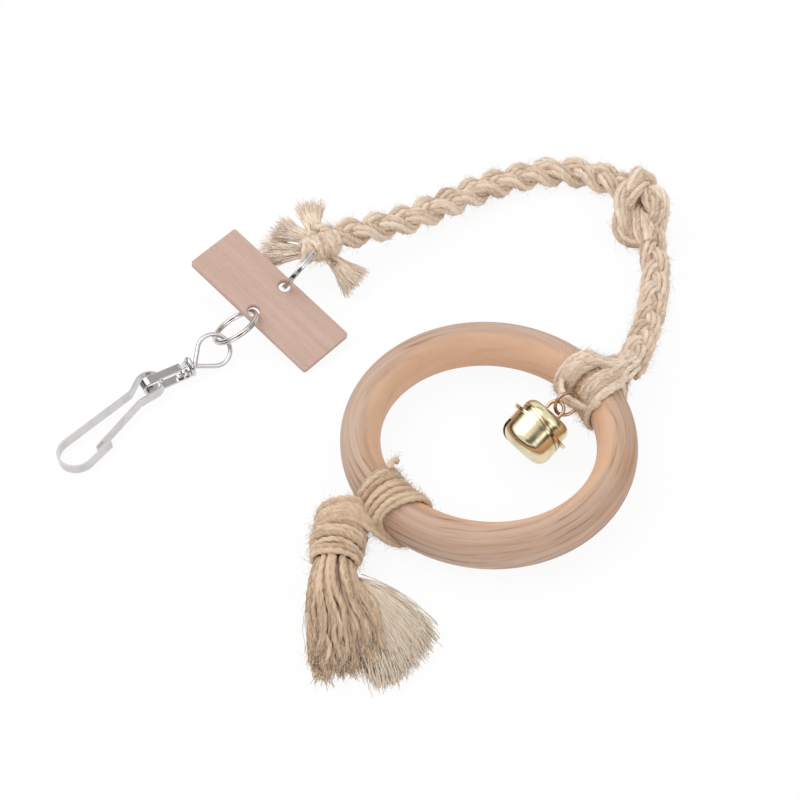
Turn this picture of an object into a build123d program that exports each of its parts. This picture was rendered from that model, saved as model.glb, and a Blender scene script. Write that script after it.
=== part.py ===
from build123d import *
import math
import os

# A bird swing laid flat: snap hook, swivel eye, split ring, wooden bar, split ring, plaited rope with one knot,
# wooden perch ring with a jingle bell inside it and a tassel below it. Millimetres, +Z up, floor at z = 0.

# ---------------------------------------------------------------- driving dimensions
# Perch ring: turned wood, an upright oval in section.
PERCH_OUTER_DIAMETER = 80.0
PERCH_WIDTH = 10.9
PERCH_HEIGHT = 14.2

# Yarn of the rope, the wraps and the tassel.
YARN_DIAMETER = 1.8
YARN_GAP = 0.45
WRAP_CLEARANCE = 0.1
ROPE_DIAMETER = 8.0

# Wooden bar between the two split rings.
BAR_LENGTH = 47.9
BAR_WIDTH = 17.7
BAR_THICKNESS = 1.8
BAR_CORNER = 0.8
BAR_HOLE_DIAMETER = 3.6
BAR_HOLE_CHAMFER = 0.4
BAR_HOLE_EDGE = 2.6

# Split rings: two flat turns of wire lying on each other.
SPLIT_RING_CENTRELINE = 14.0
SPLIT_RING_WIDTH = 1.3
SPLIT_RING_THICKNESS = 1.5
SPLIT_RING_GROOVE = 0.25

# Wire eye of the swivel: a teardrop of round wire on a headed stem.
EYE_WIRE_DIAMETER = 1.35
EYE_ROUND_DIAMETER = 9.4
EYE_LENGTH = 7.4
EYE_LEAN = 16.0
EYE_TILT = 30.0
EYE_APEX_SWELL = 1.25
STEM_HEAD_DIAMETER = 2.7
STEM_HEAD_THICKNESS = 0.8
COLLAR_RING_WIRE = 1.4
COLLAR_RING_OUTER = 6.0
COLLAR_RING_LIFT = 0.6
COLLAR_RING_AT = 1.4
STEM_CLEARANCE = 0.15
LINK_PLAY = 0.8

# Swivel strap: a bent strip whose two drilled tabs turn on the stem.
STRAP_WIDTH = 2.6
STRAP_THICKNESS = 0.6
STRAP_TAB_DIAMETER = 5.0
STRAP_TAB_GAP = 1.1
STRAP_CLEARANCE = 0.3
STRAP_END_PLAY = 0.2
STRAP_BEND_AT = 14.1
HOOK_EYE_AT = 14.2

# Snap hook: one bent strip on edge.
HOOK_STRIP_WIDTH = 3.0
HOOK_STRIP_THICKNESS = 0.5
HOOK_BULB_RADIUS = 5.2
HOOK_EYE_RADIUS = 3.8
HOOK_CENTRES = 29.3
HOOK_TIP_LENGTH = 8.0
HOOK_NECK = 5.5
HOOK_NECK_OFFSET = 2.1
GATE_LENGTH = 18.8
GATE_ROOT = 6.3
GATE_ROOT_OFFSET = 2.2
GATE_TIP_GAP = 1.15
GATE_HINGE_GAP = 0.12

# Jingle bell: two drawn cups crimped at a flange, a wire loop on top and a loose ball inside.
BELL_UPPER_RADIUS = 7.2
BELL_UPPER_DEPTH = 4.8
BELL_LOWER_RADIUS = 7.75
BELL_LOWER_DEPTH = 8.5
BELL_FLANGE_RADIUS = 9.05
BELL_FLANGE_STEP = 0.25
BELL_WALL = 0.45
BELL_UPPER_CORNER = 2.6
BELL_LOWER_CORNER = 3.4
BELL_SLOT_WIDTH = 1.7
BELL_SLOT_DEPTH = 4.7
BELL_LOOP_WIRE = 1.0
BELL_LOOP_RADIUS = 2.2
BELL_LOOP_HEIGHT = 3.8
PELLET_DIAMETER = 4.6
PELLET_PLAY = 0.8
LINK_WIRE = 1.0
LINK_OUTER_DIAMETER = 8.0
LINK_CLEARANCE = 0.6
SOCKET_CLEARANCE = 0.35

# Knotted yarn.
KNOT_LENGTH = 28.0
KNOT_DIAMETER = 15.2
TIE_LENGTH = 15.0
TIE_DIAMETER = 11.0
TUNNEL_CLEARANCE = 0.2
KNOT_LEAN = 0.35
LUMP_END_SHARE = 0.4
LUMP_END_SLOPE = 0.2
TUFT_ROOT_RADIUS = 2.2
GATHER_RADIUS = 4.6
GATHER_INNER_AT = 1.0
GATHER_OUTER_AT = 6.5
GATHER_SINK = 0.5
GATHER_SWINGS = (0, 15, 30, 45)
KNOT_SWINGS = (-20, -10, 0, 10, 20)

# Tassel.
TASSEL_CORE_RADIUS = 5.8
TASSEL_CORE_END_RADIUS = 4.6
TASSEL_CAP = 2.4
TASSEL_COLLAR_TURNS = 6
TASSEL_WRAP_TURNS = 7
ROPE_WRAP_TURNS = 3
FLOOR_GAP = 0.05
HOOK_FLOOR_GAP = 0.3
SOFT_GAP = 0.3

# ---------------------------------------------------------------- places on the floor, from the perch ring's centre
ROPE_LEAVES_RING_AT = 29.8
LEFT_WRAP_AT = 40.5
RIGHT_WRAP_AT = 21.5
TASSEL_WRAP_AT = 220.0
BIGHT_BOW = 5.3
BIGHT_HEIGHT = 12.4
BIGHT_HALF_SPREAD = 14.5
BELL_HANGS_AT = 24.0
TASSEL_TOP_AT = 212.47
TASSEL_TOP_OUTSIDE = 5.635
TASSEL_HEADING = -98.0
BASE_SHIFT = (37.9, -10.5, 0.0)

# The rope's route, from the tied end over the knot to the perch ring.
UPPER_ROPE = [
    (-47.7, 72.7, 13.0),
    (-34.1, 79.4, 10.8),
    (-20.2, 86.9, 8.4),
    (-5.7, 98.5, 6.2),
    (9.5, 108.7, 4.6),
    (23.5, 113.3, 4.2),
    (35.3, 112.5, 4.6),
    (43.2, 106.4, 6.0),
    (48.8, 100.6, 7.2),
]
LOWER_ROPE = [
    (52.4, 81.6, 6.8),
    (53.4, 71.8, 4.9),
    (52.1, 60.9, 4.2),
    (49.7, 50.4, 4.6),
    (46.0, 38.9, 6.8),
    (42.6, 29.7, 9.8),
    (39.8, 22.8, 12.5),
]
KNOT_CENTRE = (50.2, 93.2, 8.0)
TIE_CENTRE = (-49.2, 69.4, 13.4)
TIE_HEADING = 25.0
TIE_TO_RING = (0.5, -3.6, 1.6)
TUFTS = {
    "tuft_top": ((-50.6, 74.5, 12.2), (-52.9, 92.0, 9.2), 2.6),
    "tuft_left": ((-51.5, 73.5, 11.8), (-60.0, 80.6, 9.2), 3.0),
    "tuft_left_low": ((-51.5, 70.6, 10.2), (-64.0, 76.6, 4.6), 2.8),
    "tuft_right": ((-47.0, 69.6, 11.0), (-38.6, 66.8, 3.6), 2.6),
}

# Stations of the tassel's loose yarns: place from the tassel's top, height of the centre above the floor, width,
# height and the azimuth that they run in.
TASSEL_YARN_TOP = (10.4, 10.4)
TASSEL_YARN_STATIONS = [
    ((-2.7, -20.1), 7.0, 14.5, 11.4, -90.0),
    ((0.3, -30.9), 5.2, 21.0, 9.8, -84.0),
    ((2.9, -46.1), 3.5, 26.0, 6.6, -86.0),
]
TASSEL_FRAY_STATIONS = [
    ((5.9, -21.1), 5.2, 4.0, 4.0, -48.0),
    ((12.6, -28.3), 3.4, 9.6, 5.4, -48.0),
    ((19.9, -35.5), 2.2, 10.6, 3.6, -46.0),
]

# How the small links lie: azimuth and elevation of each axis, in degrees.
UPPER_RING_NORMAL = (149.9, 29.7)
UPPER_RING_TO_BAR = (-135.0, -26.4)
BAR_ALONG = (-42.4, -15.0)
BAR_ACROSS = (46.3, 4.6)
LOWER_RING_NORMAL = (149.3, 56.1)
LOWER_RING_TO_BAR = (43.5, 9.8)
LOWER_RING_TO_EYE = (-146.0, -22.2)
STEM_HEADING = 31.0
EYE_HOLDS_RING_AT = 36.0
HOOK_HEADING = 53.8
LINK_FROM_BIGHT = (-168.0, 26.0)
BELL_AXIS = (40.4, 28.6)
BELL_SLOT_ALONG = (157.0, 37.7)
BELL_LOOP_ALONG = (135.4, 9.0)

# ---------------------------------------------------------------- derived sizes
perch_section_radius = (PERCH_OUTER_DIAMETER - PERCH_WIDTH) / 2
perch_lift = YARN_DIAMETER + 2 * WRAP_CLEARANCE
perch_mid_height = perch_lift + PERCH_HEIGHT / 2
perch_inner_radius = PERCH_OUTER_DIAMETER / 2 - PERCH_WIDTH
wrap_offset = WRAP_CLEARANCE + YARN_DIAMETER / 2
rope_radius = ROPE_DIAMETER / 2
split_ring_radius = SPLIT_RING_CENTRELINE / 2
eye_radius = EYE_ROUND_DIAMETER / 2
stem_radius = EYE_WIRE_DIAMETER / 2
bar_hole_offset = BAR_WIDTH / 2 - BAR_HOLE_EDGE
strap_leg = (HOOK_STRIP_WIDTH + STRAP_THICKNESS) / 2 + STRAP_CLEARANCE
far_tab_at = COLLAR_RING_AT + COLLAR_RING_WIRE / 2 + STRAP_END_PLAY + STRAP_THICKNESS / 2
near_tab_at = far_tab_at + STRAP_THICKNESS + STRAP_TAB_GAP
tab_places = (far_tab_at, near_tab_at)
stem_head_at = near_tab_at + STRAP_THICKNESS / 2 + STRAP_END_PLAY
collar_length = (YARN_DIAMETER + YARN_GAP) * TASSEL_COLLAR_TURNS + YARN_DIAMETER


# ---------------------------------------------------------------- geometry helpers
def heading(azimuth, elevation=0.0):
    """Unit vector from an azimuth in the XY plane and an elevation above it, in degrees."""
    a = math.radians(azimuth)
    e = math.radians(elevation)
    return Vector(math.cos(a) * math.cos(e), math.sin(a) * math.cos(e), math.sin(e))


def square_to(vector, axis):
    """The part of a vector that is square to an axis, as a unit vector."""
    unit_axis = axis.normalized()
    return (vector - unit_axis * vector.dot(unit_axis)).normalized()


def plane_at(origin, normal, x_hint):
    """Plane through a point, whose X axis is as near to a hint as its normal allows."""
    return Plane(origin=origin, x_dir=square_to(x_hint, normal), z_dir=normal.normalized())


def polar(radius, azimuth, height=0.0):
    """Point at a radius, an azimuth in degrees and a height."""
    return heading(azimuth) * radius + Vector(0, 0, height)


def rod(start, end, radius):
    """Round bar between two points."""
    axis = end - start
    return Plane(origin=start, z_dir=axis.normalized()) * extrude(Circle(radius), axis.length)


def ring_of_wire(plane, radius, wire_radius):
    """Closed round ring of wire, centred on a plane's origin."""
    return plane * Torus(radius, wire_radius)


def tube_along(path, radius):
    """Round tube along a path, square to it at its start."""
    return sweep(Plane(origin=path @ 0, z_dir=path % 0) * Circle(radius), path=path)


def corner_radii(points):
    """Arc radius at each inner point of a cord's route: 0.45 of its shorter run over the tangent of half the turn."""
    radii = []
    for before, here, after in zip(points, points[1:], points[2:]):
        run_in = here - before
        run_out = after - here
        half_turn = math.radians(run_in.get_angle(run_out)) / 2
        radii.append(0.45 * min(run_in.length, run_out.length) / math.tan(half_turn))
    return radii


def cord_tube(name, route, diameter, rounded_start=False, rounded_end=False):
    """Plain tube along a cord's route, with a ball end where it bends in a socket. Prints its radii and its volume."""
    points = [Vector(*p) for p in route]
    radii = corner_radii(points)
    path = FilletPolyline(*points, radius=radii)
    tube = tube_along(path, diameter / 2)
    expected = math.pi * diameter**2 / 4 * path.length
    print(f"{name}: length {path.length:.1f}, radii {[round(r, 1) for r in radii]}, "
          f"volume {tube.volume:.0f} against {expected:.0f}")
    for wanted, point in ((rounded_start, points[0]), (rounded_end, points[-1])):
        if wanted:
            tube += Pos(*point) * Sphere(diameter / 2)
    return tube


def biarc(start, start_tangent, end, end_tangent):
    """Two tangent arcs that leave one point and reach another along given directions."""
    chord = end - start
    tangents = start_tangent + end_tangent
    a = 2 * (1 - start_tangent.dot(end_tangent))
    b = chord.dot(tangents)
    reach = (-b + math.sqrt(b * b + a * chord.dot(chord))) / a
    middle = (start + start_tangent * reach + end - end_tangent * reach) * 0.5
    return [
        Edge.make_tangent_arc(start, start_tangent, middle),
        Edge.make_tangent_arc(end, end_tangent * -1, middle),
    ]


def wound_tube(name, curve, turns, diameter, steps_per_turn=4):
    """One unbroken tube wound along a curve given by turn number. Prints the least gap to itself."""
    step = 1 / steps_per_turn
    fine = 0.001
    count = round(turns * steps_per_turn)
    edges = []
    for i in range(count):
        a, b = i * step, (i + 1) * step
        ta = (curve(a + fine) - curve(a - fine)).normalized()
        tb = (curve(b + fine) - curve(b - fine)).normalized()
        edges += biarc(curve(a), ta, curve(b), tb)
    path = Wire(edges)
    samples = [curve(i / 48) for i in range(turns * 48 + 1)]
    gap = min(
        (samples[i] - samples[j]).length - diameter
        for i in range(len(samples))
        for j in range(i + 30, len(samples))
    )
    print(f"{name}: {turns} turns, length {path.length:.0f}, least gap to itself {gap:.2f}")
    return tube_along(path, diameter / 2)


def lump(start, end, radius):
    """Lump of tied yarn: a barrel with small flat ends, whose long axis runs between two points."""
    axis = end - start
    half = axis.length / 2
    flat = radius * LUMP_END_SHARE
    outline = Curve() + [
        Line((-half, 0), (half, 0)),
        Line((half, 0), (half, flat)),
        Spline([(half, flat), (0, radius), (-half, flat)], tangents=[(-LUMP_END_SLOPE, 1), (-LUMP_END_SLOPE, -1)]),
        Line((-half, flat), (-half, 0)),
    ]
    side = square_to(Vector(0, 0, 1), axis)
    place = Plane(origin=(start + end) * 0.5, x_dir=axis.normalized(), z_dir=side)
    return place * revolve(make_face(outline), Axis.X)


# ---------------------------------------------------------------- perch ring and the yarn on it
def perch_ring():
    """Turned ring, an upright oval revolved about Z."""
    section = Plane.XZ * Pos(perch_section_radius, perch_mid_height) * Ellipse(PERCH_WIDTH / 2, PERCH_HEIGHT / 2)
    return revolve(section, Axis.Z)


def perch_winding(name, middle, turns):
    """Yarn wound round the perch ring's section, spread evenly about an azimuth."""
    across = PERCH_WIDTH / 2 + wrap_offset
    up = PERCH_HEIGHT / 2 + wrap_offset
    pitch = math.degrees((YARN_DIAMETER + YARN_GAP) / (perch_inner_radius - wrap_offset))

    def curve(turn):
        angle = 2 * math.pi * turn
        radius = perch_section_radius + across * math.cos(angle)
        height = perch_mid_height + up * math.sin(angle)
        return polar(radius, middle + pitch * (turn - turns / 2), height)

    return wound_tube(name, curve, turns, YARN_DIAMETER)


def bight_arc():
    """Route of the yarn that crosses between the two wraps, inside the perch ring, bowed into its hole."""
    ends = [
        polar(perch_inner_radius - wrap_offset, ROPE_LEAVES_RING_AT + side * BIGHT_HALF_SPREAD, BIGHT_HEIGHT)
        for side in (-1, 1)
    ]
    return ThreePointArc(ends[0], polar(perch_inner_radius - BIGHT_BOW, ROPE_LEAVES_RING_AT, BIGHT_HEIGHT), ends[1])


def bight():
    """Yarn from one wrap to the other, where the bell hangs."""
    return tube_along(Curve() + bight_arc(), YARN_DIAMETER / 2)


def rope_gather(ring):
    """Where the rope opens into its wraps: a lump on the perch ring's shoulder, with a socket for the rope."""
    rope_end = Vector(*LOWER_ROPE[-1])
    top = perch_lift + PERCH_HEIGHT + YARN_DIAMETER
    start = polar(perch_section_radius + GATHER_INNER_AT, ROPE_LEAVES_RING_AT, top)
    end = polar(PERCH_OUTER_DIAMETER / 2 + GATHER_OUTER_AT, ROPE_LEAVES_RING_AT, rope_end.Z - GATHER_SINK)
    body = lump(start, end, GATHER_RADIUS) - ring
    return socketed(body, rope_end, Vector(*LOWER_ROPE[-2]), rope_swing_axis(), GATHER_SWINGS)


# ---------------------------------------------------------------- rope
def rope_swing_axis():
    """Level direction that the lower stretch turns about where it leaves the perch ring."""
    return heading(ROPE_LEAVES_RING_AT - 90)


def socketed(body, rope_end, rope_next, axis, swings):
    """Body less the socket of a rope's ball end and the room that the rope swings in."""
    socket_radius = rope_radius + SOCKET_CLEARANCE
    body -= Pos(*rope_end) * Sphere(socket_radius)
    run = (rope_next - rope_end).normalized() * KNOT_LENGTH
    for swing in swings:
        body -= rod(rope_end, rope_end + run.rotate(Axis((0, 0, 0), axis), swing), socket_radius)
    return body


def rope_knot():
    """Overhand knot as one closed egg-shaped body, with a socket where the lower stretch enters."""
    centre = Vector(*KNOT_CENTRE)
    along = (Vector(*UPPER_ROPE[-1]) - Vector(*LOWER_ROPE[0])).normalized()
    lean = Vector(along.X * KNOT_LEAN, along.Y, 0).normalized()
    body = lump(centre - lean * KNOT_LENGTH / 2, centre + lean * KNOT_LENGTH / 2, KNOT_DIAMETER / 2)
    return socketed(body, Vector(*LOWER_ROPE[0]), Vector(*LOWER_ROPE[1]), Vector(0, 0, 1), KNOT_SWINGS)


def rope_tie(upper_ring_plane):
    """The rope's strands tied round the upper split ring, with the tunnel that the ring turns in."""
    centre = Vector(*TIE_CENTRE)
    along = heading(TIE_HEADING)
    body = lump(centre - along * TIE_LENGTH / 2, centre + along * TIE_LENGTH / 2, TIE_DIAMETER / 2)
    width = SPLIT_RING_WIDTH + 2 * TUNNEL_CLEARANCE
    height = SPLIT_RING_THICKNESS + 2 * TUNNEL_CLEARANCE
    tunnel = revolve(Plane.XZ * Pos(split_ring_radius, 0) * Rectangle(width, height), Axis.Z)
    return body - upper_ring_plane * tunnel


def tuft(root, tip, root_radius, tip_radius):
    """Frayed cut end of a strand: a bundle that widens to its tip."""
    axis = tip - root
    place = Plane(origin=root, z_dir=axis.normalized())
    return place * loft([Circle(root_radius), Pos(0, 0, axis.length) * Circle(tip_radius)])


# ---------------------------------------------------------------- wooden bar and split rings
def split_ring(plane):
    """Split ring: two flat turns lying on each other, with the groove between them."""
    half = SPLIT_RING_WIDTH / 2
    blank = Pos(split_ring_radius, 0) * RectangleRounded(SPLIT_RING_WIDTH, SPLIT_RING_THICKNESS, half * 0.6)
    ring = revolve(Plane.XZ * blank, Axis.Z)
    notch = Rot(0, 0, 45) * Rectangle(SPLIT_RING_GROOVE, SPLIT_RING_GROOVE)
    for side in (-1, 1):
        groove = Pos(split_ring_radius + side * half, 0) * notch
        ring -= revolve(Plane.XZ * groove, Axis.Z)
    return plane * ring


def wooden_bar(plane):
    """Thin bar with a chamfered hole near each long edge, at mid-length."""
    blank = extrude(RectangleRounded(BAR_LENGTH, BAR_WIDTH, BAR_CORNER), BAR_THICKNESS / 2, both=True)
    hole_radius = BAR_HOLE_DIAMETER / 2
    for side in (-1, 1):
        place = Pos(0, side * bar_hole_offset, 0)
        blank -= place * Cylinder(hole_radius, 2 * BAR_THICKNESS)
        for face in (-1, 1):
            rim = Pos(0, 0, face * (BAR_THICKNESS - BAR_HOLE_CHAMFER) / 2)
            flare = (hole_radius, hole_radius + BAR_HOLE_CHAMFER)
            bottom, top = flare if face > 0 else flare[::-1]
            blank -= place * rim * Cone(bottom, top, BAR_HOLE_CHAMFER)
    return plane * blank


# ---------------------------------------------------------------- wire eye and swivel strap
def wire_eye(plane, apex, stem_end):
    """Teardrop of round wire and its stem. The plane holds the teardrop, with its centre at the round part."""
    lean = math.radians(EYE_LEAN)
    away = Vector(math.cos(lean), math.sin(lean))
    half_angle = math.degrees(math.asin(eye_radius / EYE_LENGTH))
    first = EYE_LEAN + 90 + half_angle
    sweep_angle = -(180 + 2 * half_angle)
    arc = CenterArc((0, 0), eye_radius, first, sweep_angle)
    corner = away * -EYE_LENGTH
    body = plane * tube_along(Curve() + arc, stem_radius)
    for point in (arc @ 0, arc @ 1):
        body += plane * rod(corner, Vector(*point), stem_radius)
    body += Pos(*apex) * Sphere(stem_radius * EYE_APEX_SWELL)
    return body + rod(apex, stem_end, stem_radius)


def eye_collar(apex, stem):
    """Round ring of wire, loose on the stem at the foot of the teardrop."""
    place = Plane(origin=apex - stem * COLLAR_RING_AT + Vector(0, 0, COLLAR_RING_LIFT), z_dir=stem)
    return ring_of_wire(place, (COLLAR_RING_OUTER - COLLAR_RING_WIRE) / 2, COLLAR_RING_WIRE / 2)


def swivel_strap(plane):
    """Bent strip round the hook's eye. Plane: origin at the apex of the wire eye, X towards the hook, Y up."""
    leg = strap_leg
    far_tab, near_tab = tab_places
    tip = STRAP_BEND_AT
    upper = Line((near_tab, leg), (tip, leg))
    bend = CenterArc((tip, 0), leg, 90, -180)
    lower = Line((tip, -leg), (far_tab, -leg))
    strip = extrude(trace([upper, bend, lower], STRAP_THICKNESS), STRAP_WIDTH / 2, both=True)
    tab_blank = Cylinder(STRAP_TAB_DIAMETER / 2, STRAP_THICKNESS, rotation=(0, 90, 0))
    for place in (far_tab, near_tab):
        strip += Pos(place, 0, 0) * tab_blank
    hole_length = near_tab - far_tab + 2 * STRAP_THICKNESS
    hole = Cylinder(stem_radius + STEM_CLEARANCE, hole_length, rotation=(0, 90, 0))
    return plane * (strip - Pos((near_tab + far_tab) / 2, 0, 0) * hole)


# ---------------------------------------------------------------- snap hook
def hook_points():
    """Corner points of the hook's strip, seen along its pin, with the eye's centre as origin."""
    bulb = Vector(-HOOK_CENTRES, 0)
    neck = Vector(-HOOK_NECK, HOOK_NECK_OFFSET)
    gate_root = Vector(-GATE_ROOT, -GATE_ROOT_OFFSET)
    tip_line = -HOOK_BULB_RADIUS
    gate_tip = Vector(-GATE_ROOT - GATE_LENGTH, tip_line + HOOK_STRIP_THICKNESS + GATE_TIP_GAP)
    return bulb, neck, gate_root, gate_tip


def touch_angle(centre, radius, point, side):
    """Angle on a circle, in degrees, where a line from a point touches it on one side."""
    away = point - centre
    bearing = math.degrees(math.atan2(away.Y, away.X))
    return bearing + side * math.degrees(math.acos(radius / away.length))


def on_circle(centre, radius, angle):
    """Point on a circle at an angle in degrees."""
    return centre + heading(angle) * radius


def strip_on_edge(lines, kinks):
    """Strip standing on edge along lines in the XY plane, rounded at its kinks."""
    outline = trace(lines, HOOK_STRIP_THICKNESS)
    for kink in kinks:
        outline += Pos(kink.X, kink.Y) * Circle(HOOK_STRIP_THICKNESS / 2)
    return extrude(outline, HOOK_STRIP_WIDTH / 2, both=True)


def hook_body(plane):
    """Hook tip, bulb, long side and eye, as far as the root of the gate."""
    bulb, neck, gate_root, _ = hook_points()
    eye = Vector(0, 0)
    side_angle = touch_angle(bulb, HOOK_BULB_RADIUS, neck, 1)
    neck_angle = touch_angle(eye, HOOK_EYE_RADIUS, neck, -1)
    root_angle = touch_angle(eye, HOOK_EYE_RADIUS, gate_root, 1)
    bulb_end = on_circle(bulb, HOOK_BULB_RADIUS, side_angle)
    eye_start = on_circle(eye, HOOK_EYE_RADIUS, neck_angle)
    eye_end = on_circle(eye, HOOK_EYE_RADIUS, root_angle)
    tip = bulb + Vector(HOOK_TIP_LENGTH, -HOOK_BULB_RADIUS)
    to_root = (gate_root - eye_end).normalized()
    root_end = gate_root - to_root * GATE_HINGE_GAP / 2
    lines = [
        Line(tip, bulb + Vector(0, -HOOK_BULB_RADIUS)),
        CenterArc(bulb, HOOK_BULB_RADIUS, -90, side_angle - 270),
        Line(bulb_end, neck),
        Line(neck, eye_start),
        CenterArc(eye, HOOK_EYE_RADIUS, neck_angle, root_angle % 360 - 360 - neck_angle),
        Line(eye_end, root_end),
    ]
    return plane * strip_on_edge(lines, [neck])


def hook_gate(plane):
    """Springy end of the strip, from its root to its end inside the hook's tip."""
    _, _, gate_root, gate_tip = hook_points()
    along = (gate_tip - gate_root).normalized()
    start = gate_root + along * (HOOK_STRIP_THICKNESS / 2 + GATE_HINGE_GAP)
    return plane * strip_on_edge([Line(start, gate_tip)], [start])


# ---------------------------------------------------------------- jingle bell
def cup(radius, depth, corner, flange_radius):
    """Drawn cup, open at its flange on the XY plane and closed above."""
    bend = math.sqrt(0.5)
    inner = corner - BELL_WALL
    side = radius - corner
    top = depth - corner
    outline = Curve() + [
        Line((flange_radius, 0), (flange_radius, BELL_WALL)),
        Line((flange_radius, BELL_WALL), (radius, BELL_WALL)),
        Line((radius, BELL_WALL), (radius, top)),
        ThreePointArc((radius, top), (side + corner * bend, top + corner * bend), (side, depth)),
        Line((side, depth), (0, depth)),
        Line((0, depth), (0, depth - BELL_WALL)),
        Line((0, depth - BELL_WALL), (side, depth - BELL_WALL)),
        ThreePointArc((side, depth - BELL_WALL), (side + inner * bend, top + inner * bend), (radius - BELL_WALL, top)),
        Line((radius - BELL_WALL, top), (radius - BELL_WALL, 0)),
        Line((radius - BELL_WALL, 0), (flange_radius, 0)),
    ]
    return revolve(Plane.XZ * make_face(outline), Axis.Z)


def bell_upper_cup(plane):
    """Upper cup, with the wider flange."""
    return plane * cup(BELL_UPPER_RADIUS, BELL_UPPER_DEPTH, BELL_UPPER_CORNER, BELL_FLANGE_RADIUS)


def bell_lower_cup(plane):
    """Lower cup, hanging from the flange, with its slot across the end."""
    shell = cup(BELL_LOWER_RADIUS, BELL_LOWER_DEPTH, BELL_LOWER_CORNER, BELL_FLANGE_RADIUS - BELL_FLANGE_STEP)
    slot = Pos(0, 0, BELL_LOWER_DEPTH) * Box(4 * BELL_LOWER_RADIUS, BELL_SLOT_WIDTH, 2 * BELL_SLOT_DEPTH)
    return plane * Rot(180, 0, 0) * (shell - slot)


def bell_loop(plane):
    """Wire staple that stands on the upper cup."""
    foot = BELL_UPPER_DEPTH
    bend_at = foot + BELL_LOOP_HEIGHT - BELL_LOOP_RADIUS
    arch = Plane.XZ * Pos(0, bend_at) * CenterArc((0, 0), BELL_LOOP_RADIUS, 0, 180)
    body = tube_along(Curve() + arch, BELL_LOOP_WIRE / 2)
    for side in (-1, 1):
        bottom = Vector(side * BELL_LOOP_RADIUS, 0, foot)
        top = Vector(side * BELL_LOOP_RADIUS, 0, bend_at)
        body += rod(bottom, top, BELL_LOOP_WIRE / 2)
    return plane * body


# ---------------------------------------------------------------- tassel
def core_radius_at(distance):
    """Radius of the tassel's core at a distance below its top: a barrel."""
    half = collar_length / 2
    share = (distance - half) / half
    return TASSEL_CORE_RADIUS - (TASSEL_CORE_RADIUS - TASSEL_CORE_END_RADIUS) * share * share


def tassel_core(plane):
    """Barrel-shaped bundle inside the collar, rounded at its top."""
    middle = collar_length / 2
    end = TASSEL_CORE_END_RADIUS
    side = ThreePointArc((end, 0), (TASSEL_CORE_RADIUS, middle), (end, collar_length))
    cap = EllipticalCenterArc((0, 0), end, TASSEL_CAP, -90, arc_size=90)
    foot = Line((end, collar_length), (0, collar_length))
    axis_line = Line((0, collar_length), (0, -TASSEL_CAP))
    return plane * revolve(Plane.XZ * make_face(Curve() + [side, foot, axis_line, cap]), Axis.Z)


def tassel_collar(plane):
    """Yarn wound round the tassel's core."""
    pitch = YARN_DIAMETER + YARN_GAP
    first = (collar_length - pitch * TASSEL_COLLAR_TURNS) / 2

    def curve(turn):
        angle = 2 * math.pi * turn
        distance = first + pitch * turn
        radius = core_radius_at(distance) + wrap_offset
        local = Vector(radius * math.cos(angle), radius * math.sin(angle), distance)
        return plane.from_local_coords(local)

    return wound_tube("tassel_collar", curve, TASSEL_COLLAR_TURNS, YARN_DIAMETER)


def bundle(stations):
    """Loft through upright ellipses, flat where it lies on the floor. A station: centre, width, height, azimuth."""
    sections = []
    for centre, width, height, azimuth in stations:
        along = heading(azimuth)
        place = Plane(origin=centre, x_dir=(along.Y, -along.X, 0), z_dir=along)
        sections.append(place * Ellipse(width / 2, height / 2))
    wide = 4 * PERCH_OUTER_DIAMETER
    below = Box(wide, wide, PERCH_HEIGHT, align=(Align.CENTER, Align.CENTER, Align.MAX))
    return loft(sections) - Pos(0, 0, FLOOR_GAP) * below


def from_top(top, stations):
    """Stations with their centres placed from the tassel's top."""
    return [
        (Vector(top.X + x, top.Y + y, level), width, height, azimuth)
        for (x, y), level, width, height, azimuth in stations
    ]


def tassel_yarns(top, foot):
    """Cut yarns below the collar, spreading and flattening onto the floor."""
    return bundle([(foot, *TASSEL_YARN_TOP, TASSEL_HEADING)] + from_top(top, TASSEL_YARN_STATIONS))


# ---------------------------------------------------------------- where the linked pieces lie
ring = perch_ring()

# Upper split ring, in the tie's tunnel.
upper_ring_normal = heading(*UPPER_RING_NORMAL)
to_bar = square_to(heading(*UPPER_RING_TO_BAR), upper_ring_normal)
upper_ring_centre = Vector(*TIE_CENTRE) + Vector(*TIE_TO_RING) + to_bar * split_ring_radius
upper_ring_plane = plane_at(upper_ring_centre, upper_ring_normal, to_bar)

# Bar, its upper hole round the upper ring's wire.
bar_along = heading(*BAR_ALONG)
bar_across = square_to(heading(*BAR_ACROSS), bar_along)
bar_centre = upper_ring_centre + to_bar * split_ring_radius - bar_across * bar_hole_offset
bar_plane = Plane(origin=bar_centre, x_dir=bar_along, z_dir=bar_along.cross(bar_across))

# Lower split ring, in the bar's lower hole.
lower_ring_normal = heading(*LOWER_RING_NORMAL)
from_bar = square_to(heading(*LOWER_RING_TO_BAR), lower_ring_normal) * -1
lower_ring_centre = bar_centre - bar_across * bar_hole_offset + from_bar * split_ring_radius
lower_ring_plane = plane_at(lower_ring_centre, lower_ring_normal, from_bar)

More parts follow.
